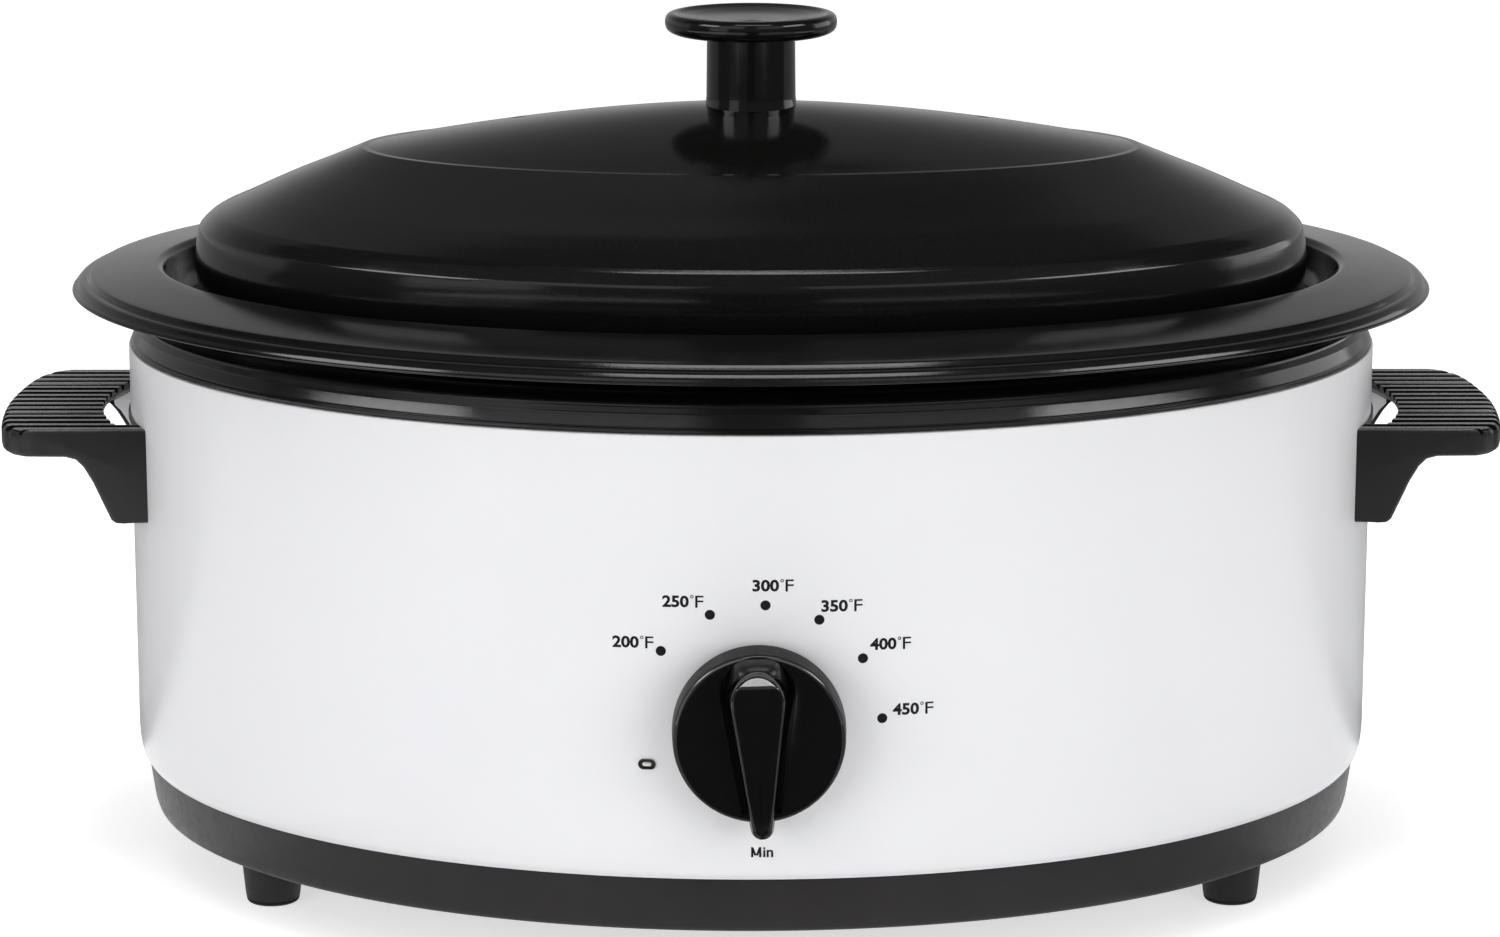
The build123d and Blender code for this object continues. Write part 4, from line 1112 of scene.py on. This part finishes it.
class ROASTER_OT_handles(PieceOperator, bpy.types.Operator):
    """Two ribbed side handles"""
    bl_idname = "roaster.handles"
    bl_label = "Side handles"

    def build(self, sizes, looks):
        finish = [looks[kind] for kind in ("handle_plastic", "worn_ribs", "rib_grooves")]
        high, inside = sizes.handle.top - 0.3, sizes.handle.half_width - 1.3
        for side, name in ((-1, "left"), (1, "right")):
            grip = new_piece("grip_" + name, self.shape(side, sizes), finish,
                             "oven", "handle_plastic", name + "_handle")
            for face in grip.data.polygons:
                along, up = abs(face.center.y / MM - AXIS_Y), face.center.z / MM
                # upward faces on the ribs' tops get the lighter colour, painted light
                if face.normal.z > 0.75 and up > high:
                    face.material_index = 1
                # faces down in the grooves get the near-black painted shade
                elif up > high - 1.5 and along < inside and abs(face.normal.x) < 0.5:
                    face.material_index = 2
            new_piece("grip_backing_" + name, self.backing(side, sizes), looks["white_enamel"],
                      "oven", "white_enamel")
            # a thin dark strip along the casing: painted shade for the handle's shadow line
            new_piece("grip_lip_" + name, self.lip(side, sizes), looks["handle_plastic"],
                      "oven", "handle_plastic")

    def backing(self, side, sizes):
        """Thin white plate on the rear arm, seen through the gap beside the casing."""
        rear = sizes.handle.half_width - sizes.handle.arm
        near = rear - 0.8
        wall = side_of(sizes.body.half_length, sizes.body.half_depth, near) + 0.1
        outline = [(wall, 107.2), (182.9, 107.2), (185.7, 113), (187.9, 118), (190.6, 122.4),
                   (192.6, 124.4), (192.6, 130.6), (183.4, 131.8), (wall, 131.8)]
        points = [(side * x, y, z) for y in (near, rear) for x, z in outline]
        return mesh_of("backing", points, capped_faces(2, len(outline)))

    def lip(self, side, sizes):
        """Thin dark strip of the handle's plastic that follows the casing from one arm to the
        other: painted shade for the shadow line where the handle meets the casing.
        """
        inner, rows = sizes.handle.half_width - sizes.handle.arm + 0.1, 24
        points = []
        for row in range(rows + 1):
            y = inner * (2 * row / rows - 1)
            wall = side_of(sizes.body.half_length, sizes.body.half_depth, y)
            for x, z in ((0.1, 131.6), (0.1, 133.3), (0.65, 133.3), (0.65, 131.6)):
                points.append((side * (wall + x), y, z))
        return mesh_of("lip", points, capped_faces(rows + 1, 4))

    def reach_at(self, handle, y):
        """X of the grip's outer edge at y."""
        drawn_in = [(0, 0), (10, 0.3), (20, 1.1), (28, 2.0), (34, 3.1), (38.5, 4.7), (41.5, 6.7),
                    (43.4, 9.1), (44.4, 11.1), (44.8, 12.5)]
        return handle.reach - between(drawn_in, min(abs(y), drawn_in[-1][0]))

    def section(self, handle, body, y, shrink):
        """Closed outline in X and Z of the handle at y, drawn in by shrink."""
        arm = abs(y) > handle.half_width - handle.arm - 1e-6
        wall = side_of(body.half_length, body.half_depth, y) + 0.06
        middle, bow = 97.3, 93.0  # the circle of the grip's inner edge, seen from above
        inner = middle + math.sqrt(bow ** 2 - y ** 2)
        left = wall if arm else inner
        right = self.reach_at(handle, y) - shrink
        pitch = 2 * handle.half_width / handle.ribs
        phase = ((y + handle.half_width) / pitch) % 1.0
        near = min(phase, 1 - phase) * pitch
        bed, slope, depth = 0.9, 0.7, 1.5  # half of the groove's flat bed, its side and its depth
        groove = 1.0 - min(1.0, max(0.0, (near - bed) / slope))
        dip = depth * groove * groove * (3 - 2 * groove)
        if abs(abs(y) - handle.half_width) < 1.2:
            dip = 0.0
        top, under = handle.top - shrink, handle.top - handle.plate + shrink
        rounding, chin = 2.4, 1.4
        points = [(left, top - (0 if arm else dip))]
        for step in range(7):
            turn = math.pi / 2 * step / 6
            points.append((right - dip * 0.75 - rounding * (1 - math.sin(turn)),
                           top - dip - rounding * (1 - math.cos(turn))))
        for step in range(5):
            turn = math.pi / 2 * step / 4
            points.append((right - chin * (1 - math.cos(turn)) - dip * 0.5 * (1 - step / 4),
                           under + chin * (1 - math.sin(turn))))
        if arm:
            low = handle.foot
            curve = [(202, under - 0.05), (196.4, under - 0.1), (193.4, under - 0.9),
                     (191.2, under - 3.1), (188.6, under - 7.6), (186.4, under - 12.6),
                     (183.7, low + 0.9), (182.6, low + 0.1), (180.6, low)]
            points += [(x - shrink, z) for x, z in curve]
            points.append((wall, low + shrink))
            points.append((wall, (low + top) / 2))
        else:
            end, start = 202, 191.4
            reach_in = inner + 9.5
            for x in (end, 198, 196.4, 195.2, 194.2, 193.4, 192.8, 192.2, start):
                points.append((reach_in + (x - start) / (end - start) * (end - reach_in), under))
            points.append((inner + 0.7, top - 3.0))
            points.append((inner, top - 2.2))
        return points

    def shape(self, side, sizes):
        """Handle built from its sections, front arm to rear arm."""
        handle, body = sizes.handle, sizes.body
        half, arm = handle.half_width, handle.arm
        inner = half - arm
        stations = [(-half, 1.0), (-half + 0.12, 0.55), (-half + 0.4, 0.25), (-half + 0.9, 0.0)]
        spacing, edge = 0.4, 1.2
        count = int(2 * half / spacing)
        middle = [-half + 2 * half * step / count for step in range(count + 1)]
        middle = [y for y in middle if abs(y) < half - edge and abs(abs(y) - inner) > 0.12]
        middle += [side_y + gap for side_y in (-inner, inner) for gap in (-0.01, 0.01)]
        stations += [(y, 0.0) for y in sorted(middle)]
        stations += [(-y, shrink) for y, shrink in stations[3::-1]]
        loops = [self.section(handle, body, y, shrink) for y, shrink in stations]
        points = [(side * x, y, z) for (y, _), loop in zip(stations, loops) for x, z in loop]
        return mesh_of("grip", points, capped_faces(len(loops), len(loops[0])), 32)


class ROASTER_OT_control_knob(PieceOperator, bpy.types.Operator):
    """Thermostat knob with its raised grip"""
    bl_idname = "roaster.control_knob"
    bl_label = "Thermostat knob"

    def build(self, sizes, looks):
        control, body = sizes.control, sizes.body
        cos, sin = math.cos(control.tilt), math.sin(control.tilt)

        def at_dial(u, v, w):
            """Point on the knob: across and along the pointer, and out from the casing."""
            return (control.dial_x + u * cos - v * sin, -body.half_depth - w,
                    control.dial_z + u * sin + v * cos)

        radius, face, back = control.radius, control.face, control.back
        profile = turned([(3.0, back + 1.6, 0), (radius - 2.2, back + 1.6, 0),
                          (radius - 2.0, back, 0.2), (radius - 0.6, back, 0.4),
                          (radius, back + 1.6, 0.8), (radius - 0.25, face - 1.3, 0.6),
                          (radius - 0.45, face - 0.4, 0.3), (radius - 1.1, face, 0.45),
                          (3.0, face + 0.2, 0)])
        turns = 200
        points = [at_dial(u, v, w) for r, _, w in profile for u, v in circle(r, turns)]
        faces = ring_faces(len(profile), turns, True)
        disc = placed("knob_disc", mesh_of("knob_disc", points, faces))
        lowest, bed = -20.4, face - 4.6
        outline = [(u, max(v, lowest)) for u, v in self.teardrop(2.5)]
        cut_holes(disc, cutter_of("channel", outline, bed, face + 9, at_dial))
        edges = disc.modifiers.new("soft edges", "BEVEL")
        edges.width = 0.45 * MM
        edges.segments = 3
        edges.limit_method = "ANGLE"
        edges.angle_limit = math.radians(40)
        apply_modifiers(disc, 50)
        grip = self.grip(control, bed, at_dial)
        start, end, half, deep = -30, -10.9, 0.55, 0.4
        groove = [(v, self.crown(v, face, control.reach) - deep) for v in (start, -24, end)]
        groove += [(end, face + 9), (start, face + 9)]
        cut_holes(grip, cutter_of("index_line", groove, -half, half,
                                  lambda v, w, u: at_dial(u, v, w)))
        parts = [disc, grip, self.saddle(face, radius, at_dial)]
        in_disc, in_grip = len(disc.data.polygons), len(grip.data.polygons)
        _, rim, glint, hood = range(4)
        finish = [looks[name] for name in ("knob_plastic", "knob_rim", "knob_glint", "knob_hood")]
        knob = new_piece("thermostat_knob", self.join("thermostat_knob", parts), finish,
                         "control_knob", "knob_plastic", "control_knob")
        middle = to_row(at_dial(0, 0, 0))
        for side in knob.data.polygons:
            across, up = (side.center.x - middle.x) / MM, (side.center.z - middle.z) / MM
            out, facing = math.hypot(across, up), side.normal.y
            if side.index < in_disc:
                # the disc's edge gets the shaded copy of the knob plastic, standing in for shade
                if out > radius - 0.8 and abs(facing) < 0.5:
                    side.material_index = rim
                # painted highlight: the upper arcs of the disc's front edge get the lighter,
                # brighter finish
                elif out > radius - 1.3 and -0.97 < facing < -0.3 and up > 4:
                    side.material_index = glint
            elif side.index >= in_disc + in_grip:
                side.material_index = hood
            # painted highlight on the upward slope of the grip's head
            elif up > 16.7 and facing < -0.45 and side.normal.z > 0.35:
                side.material_index = glint

    def join(self, name, pieces):
        """One mesh of several pieces, which are removed."""
        shape = bmesh.new()
        for piece in pieces:
            shape.from_mesh(piece.data)
            bpy.data.objects.remove(piece)
        mesh = bpy.data.meshes.new(name)
        shape.to_mesh(mesh)
        shape.free()
        return mesh

    def teardrop(self, grow, head=(12.5, 7.6), tip=(-24.5, 2.8), steps=40):
        """Outline of the grip, round head above and narrow tip below, offset by grow."""
        lean = math.asin((head[1] - tip[1]) / (head[0] - tip[0]))
        shoulder = 10.6
        side = (head[1] + grow) / math.cos(lean) - (head[0] - shoulder) * math.tan(lean)
        outline = []
        for (middle, radius), start, sweep, across in (
                (head, -lean, math.pi + 2 * lean, -side),
                (tip, math.pi + lean, math.pi - 2 * lean, side)):
            for step in range(steps + 1):
                turn, reach = start + sweep * step / steps, radius + grow
                outline.append((reach * math.cos(turn), middle + reach * math.sin(turn)))
            outline.append((across, shoulder))
        return outline

    def saddle(self, face, radius, at_dial):
        """Smooth slope behind the grip's head, down to the disc's edge."""
        low, edge = face - 7, radius - 0.25
        spots = [(11.5, face + 1.4), (14.5, face + 3.9), (17.2, face + 5.0), (19.4, face + 4.5),
                 (21.0, face + 2.8), (22.2, face + 0.2), (22.8, face - 3.0), (edge, face - 5.8)]
        corners = [(v, w, 0, 1.2) for v, w in spots[:-1]] + [(*spots[-1], 0, 0)]
        slope = [(v, w) for v, w, _ in eased(corners, 4)]
        columns, points = 48, []
        around = 2 * (columns + 1)
        for v, w in slope:
            half = 9.3 - 0.16 * max(0.0, v - slope[0][0])
            above, below = [], []
            for column in range(columns + 1):
                across = math.sin(math.pi / 2 * (2 * column / columns - 1))
                u = half * across
                bulge = (1 - abs(across) ** 4) ** 0.55
                back = v - (edge - math.sqrt(edge ** 2 - u ** 2)) * (v / edge) ** 2
                above.append(at_dial(u, back, low + 0.1 + (w - low) * bulge))
                below.append(at_dial(u, back, low))
            points += above + below[::-1]
        faces = ring_faces(len(slope), around)
        for first in (0, (len(slope) - 1) * around):
            last = first + around - 1
            faces += [(first + step, first + step + 1, last - step - 1, last - step)
                      for step in range(columns)]
        return placed("knob_saddle", mesh_of("knob_saddle", points, faces))

    def grip(self, control, bed, at_dial):
        """Raised grip: level by level from inside the disc up to its crowned top."""
        face, reach = control.face, control.reach
        levels = [(face - 8, 0.7), (bed, 0.55), (face, 0.25)]
        points = [at_dial(u, v, w) for w, grow in levels for u, v in self.teardrop(grow)]
        stages = [(0.0, 0.0), (0.35, 0.04), (0.6, 0.1), (0.78, 0.2), (0.88, 0.34), (0.95, 0.56),
                  (0.99, 0.85), (1.0, 1.15), (1.0, 1.4)]
        for part, draw_in in stages:
            for u, v in self.teardrop(-draw_in):
                top = self.crown(v, face, reach)
                low = min(face + 0.6, top - 0.1)
                points.append(at_dial(u, v, low + (top - low) * part))
        around = len(self.teardrop(0))
        rows = len(levels) + len(stages)
        faces = ring_faces(rows, around) + [tuple(range(around))]
        # The crown: strips from side to side between the head's and the tip's middle points.
        base, head, tip = (rows - 1) * around, 20, 62
        right = [base + step % around for step in range(head - 1, tip - around, -1)]
        left = [base + step for step in range(head + 1, tip)]
        faces.append((base + head, right[0], left[0]))
        for row in range(len(right) - 1):
            faces.append((right[row], right[row + 1], left[row + 1], left[row]))
        faces.append((right[-1], base + tip, left[-1]))
        return placed("knob_grip", mesh_of("knob_grip", points, faces))

    def crown(self, v, face, reach):
        """Height of the grip's top: a slope down behind the head and a ramp to the tip."""
        return between([(-30, face + 0.5), (-24, face + 1.7), (10.6, reach), (16.8, reach - 0.45),
                        (20.6, reach - 4.4), (22, reach - 6.0)], v)


class ROASTER_OT_dial_marks(PieceOperator, bpy.types.Operator):
    """Printed dots and numbers round the thermostat knob"""
    bl_idname = "roaster.dial_marks"
    bl_label = "Dial marks"

    def build(self, sizes, looks):
        control, body = sizes.control, sizes.body
        self.body = body
        shape = bmesh.new()
        for degrees in (-52.4, -23.3, 3.0, 29.1, 57.1, 88.0):
            turn = math.radians(degrees)
            x = control.dial_x + control.dot_radius * math.sin(turn)
            z = control.dial_z + control.dot_radius * math.cos(turn)
            self.dot(shape, x, z, 1.37)
        labels = [("200", -37.6, 94.9), ("250", -24.2, 106.4), ("300", -0.15, 110.9),
                  ("350", 18.2, 105.1), ("400", 31.3, 94.2), ("450", 37.5, 75.9)]
        for words, x, z in labels:
            self.words(shape, words, x, z, 7.1, 3.3, 0.15)
            self.words(shape, "F", x + 8.8, z, 2.2, 3.3, 0.02)
            self.degree(shape, x + 7.9, z + 3.0)
        self.words(shape, "in", 2.75, 37.2, 2.7, 2.8, 0.07)
        strokes = ((-0.5, 0.08, 0.0), (1.66, 2.24, 0.0), (-0.5, 0.08, 0.88), (1.66, 2.24, -0.88))
        for left, right, slant in strokes:  # the capital M
            low, high = 37.7 if slant else 37.2, 40.0
            corners = [(left + slant, low), (right + slant, low), (right, high), (left, high)]
            self.film(shape, corners, [[0, 1, 2, 3]])
        piece = placed("dial_print", bpy.data.meshes.new("dial_print"))
        shape.to_mesh(piece.data)
        shape.free()
        tidy_mesh(piece.data)
        piece.data.materials.append(looks["print_ink"])
        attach(piece, "oven")
        self.pilot(control, looks)

    def pilot(self, control, looks):
        """Oval pilot light: dark rim, shallow moat and a pale window."""
        rings = [(4.2, 2.4, -3.0), (4.2, 2.4, -0.6), (4.75, 2.85, -0.05), (4.8, 2.9, 0.35),
                 (4.6, 2.7, 0.6), (4.1, 2.2, 0.6), (3.8, 1.9, 0.2), (2.5, 1.15, 0.15),
                 (2.3, 1.0, 0.45), (1.4, 0.5, 0.7)]
        window = 7  # the ring where the pale window starts
        points = [self.on_wall(x, z, lift) for long, high, lift in rings
                  for x, z in slot_outline(long, high, control.pilot_x, control.pilot_z)]
        count = len(points) // len(rings)
        faces = capped_faces(len(rings), count)
        piece = new_piece("pilot_light", mesh_of("pilot_light", points, faces, place=Vector),
                          (looks["knob_plastic"], looks["pilot_window"]),
                          "oven", "clear_lens", "pilot_lens")
        for face in piece.data.polygons:
            if face.index >= window * count and face.index != len(faces) - 2:
                face.material_index = 1

    def on_wall(self, x, z, lift):
        """Point on the casing's front, lifted off it."""
        a, b = self.body.half_length, self.body.half_depth
        return to_row((x, front_of(a, b, x) - lift, z))

    def film(self, shape, points, faces):
        """Thin film of ink over flat faces given in x and z."""
        proud, sunk = 0.06, 0.1
        top = [shape.verts.new(self.on_wall(x, z, proud)) for x, z in points]
        bottom = [shape.verts.new(self.on_wall(x, z, -sunk)) for x, z in points]
        sides = {}
        for face in faces:
            shape.faces.new([top[i] for i in face])
            shape.faces.new([bottom[i] for i in reversed(face)])
            for start, end in zip(face, face[1:] + face[:1]):
                if (end, start) in sides:
                    del sides[(end, start)]
                else:
                    sides[(start, end)] = True
        for start, end in sides:
            shape.faces.new([top[end], top[start], bottom[start], bottom[end]])

    def dot(self, shape, x, z, radius, turns=28):
        """Round dot."""
        self.film(shape, circle(radius, turns, x, z), [list(range(turns))])

    def degree(self, shape, x, z, turns=20):
        """Small ring that stands for degrees."""
        faces = [list(face) for face in ring_faces(2, turns)]
        self.film(shape, circle(0.46, turns, x, z) + circle(0.24, turns, x, z), faces)

    def words(self, shape, words, x, z, wide, high, weight):
        """Flat letters that fill a box whose lower left corner is at x and z."""
        data = bpy.data.curves.new("letters", "FONT")
        data.body = words
        data.size = high / CAPITAL * MM
        data.offset = weight * MM
        data.resolution_u = 3
        data.fill_mode = "FRONT"
        letters = placed("letters", data)
        graph = bpy.context.evaluated_depsgraph_get()
        flat = bpy.data.meshes.new_from_object(letters.evaluated_get(graph))
        across, up = [v.co.x for v in flat.vertices], [v.co.y for v in flat.vertices]
        stretch = wide / (max(across) - min(across)), high / (max(up) - min(up))
        points = [(x + (v.co.x - min(across)) * stretch[0], z + (v.co.y - min(up)) * stretch[1])
                  for v in flat.vertices]
        faces = [list(p.vertices) for p in flat.polygons]
        self.film(shape, points, faces)
        bpy.data.objects.remove(letters)
        bpy.data.curves.remove(data)
        bpy.data.meshes.remove(flat)


class ROASTER_OT_small_parts(PieceOperator, bpy.types.Operator):
    """Finishes of the solid parts that stay as they are"""
    bl_idname = "roaster.small_parts"
    bl_label = "Small parts"

    def build(self, sizes, looks):
        slots = {s["node"]: s["material_slot"] for s in frame["record"]["subparts"]}
        for name, node in NODES.items():
            if node.hide_render:
                continue
            node.data.materials.clear()
            node.data.materials.append(looks[slots[name]])


class ROASTER_PT_panel(bpy.types.Panel):
    """Lists the roaster's pieces and sizes"""
    bl_idname = "ROASTER_PT_panel"
    bl_label = "Roaster oven"
    bl_space_type = "VIEW_3D"
    bl_region_type = "UI"
    bl_category = "Roaster"

    def draw(self, context):
        for operator in OPERATORS:
            self.layout.operator(operator.bl_idname, text=operator.bl_label)
        for name, group in GROUPS.items():
            box = self.layout.box()
            box.label(text=group.__doc__)
            for key in group.__annotations__:
                box.prop(getattr(context.scene, name), key)


OPERATORS = (ROASTER_OT_stage, ROASTER_OT_casing, ROASTER_OT_liner, ROASTER_OT_base,
             ROASTER_OT_cookwell, ROASTER_OT_rack, ROASTER_OT_lid, ROASTER_OT_lid_knob,
             ROASTER_OT_handles, ROASTER_OT_control_knob, ROASTER_OT_dial_marks,
             ROASTER_OT_small_parts)


def register():
    for made in (*GROUPS.values(), *OPERATORS, ROASTER_PT_panel):
        bpy.utils.register_class(made)
    for name, group in GROUPS.items():
        setattr(bpy.types.Scene, name, PointerProperty(type=group))


def unregister():
    for name in GROUPS:
        delattr(bpy.types.Scene, name)
    for made in reversed((*GROUPS.values(), *OPERATORS, ROASTER_PT_panel)):
        bpy.utils.unregister_class(made)


def main():
    register()
    bpy.context.scene.view_settings.view_transform = "Standard"
    for operator in OPERATORS:
        family, action = operator.bl_idname.split(".")
        getattr(getattr(bpy.ops, family), action)()


if __name__ == "__main__":
    main()
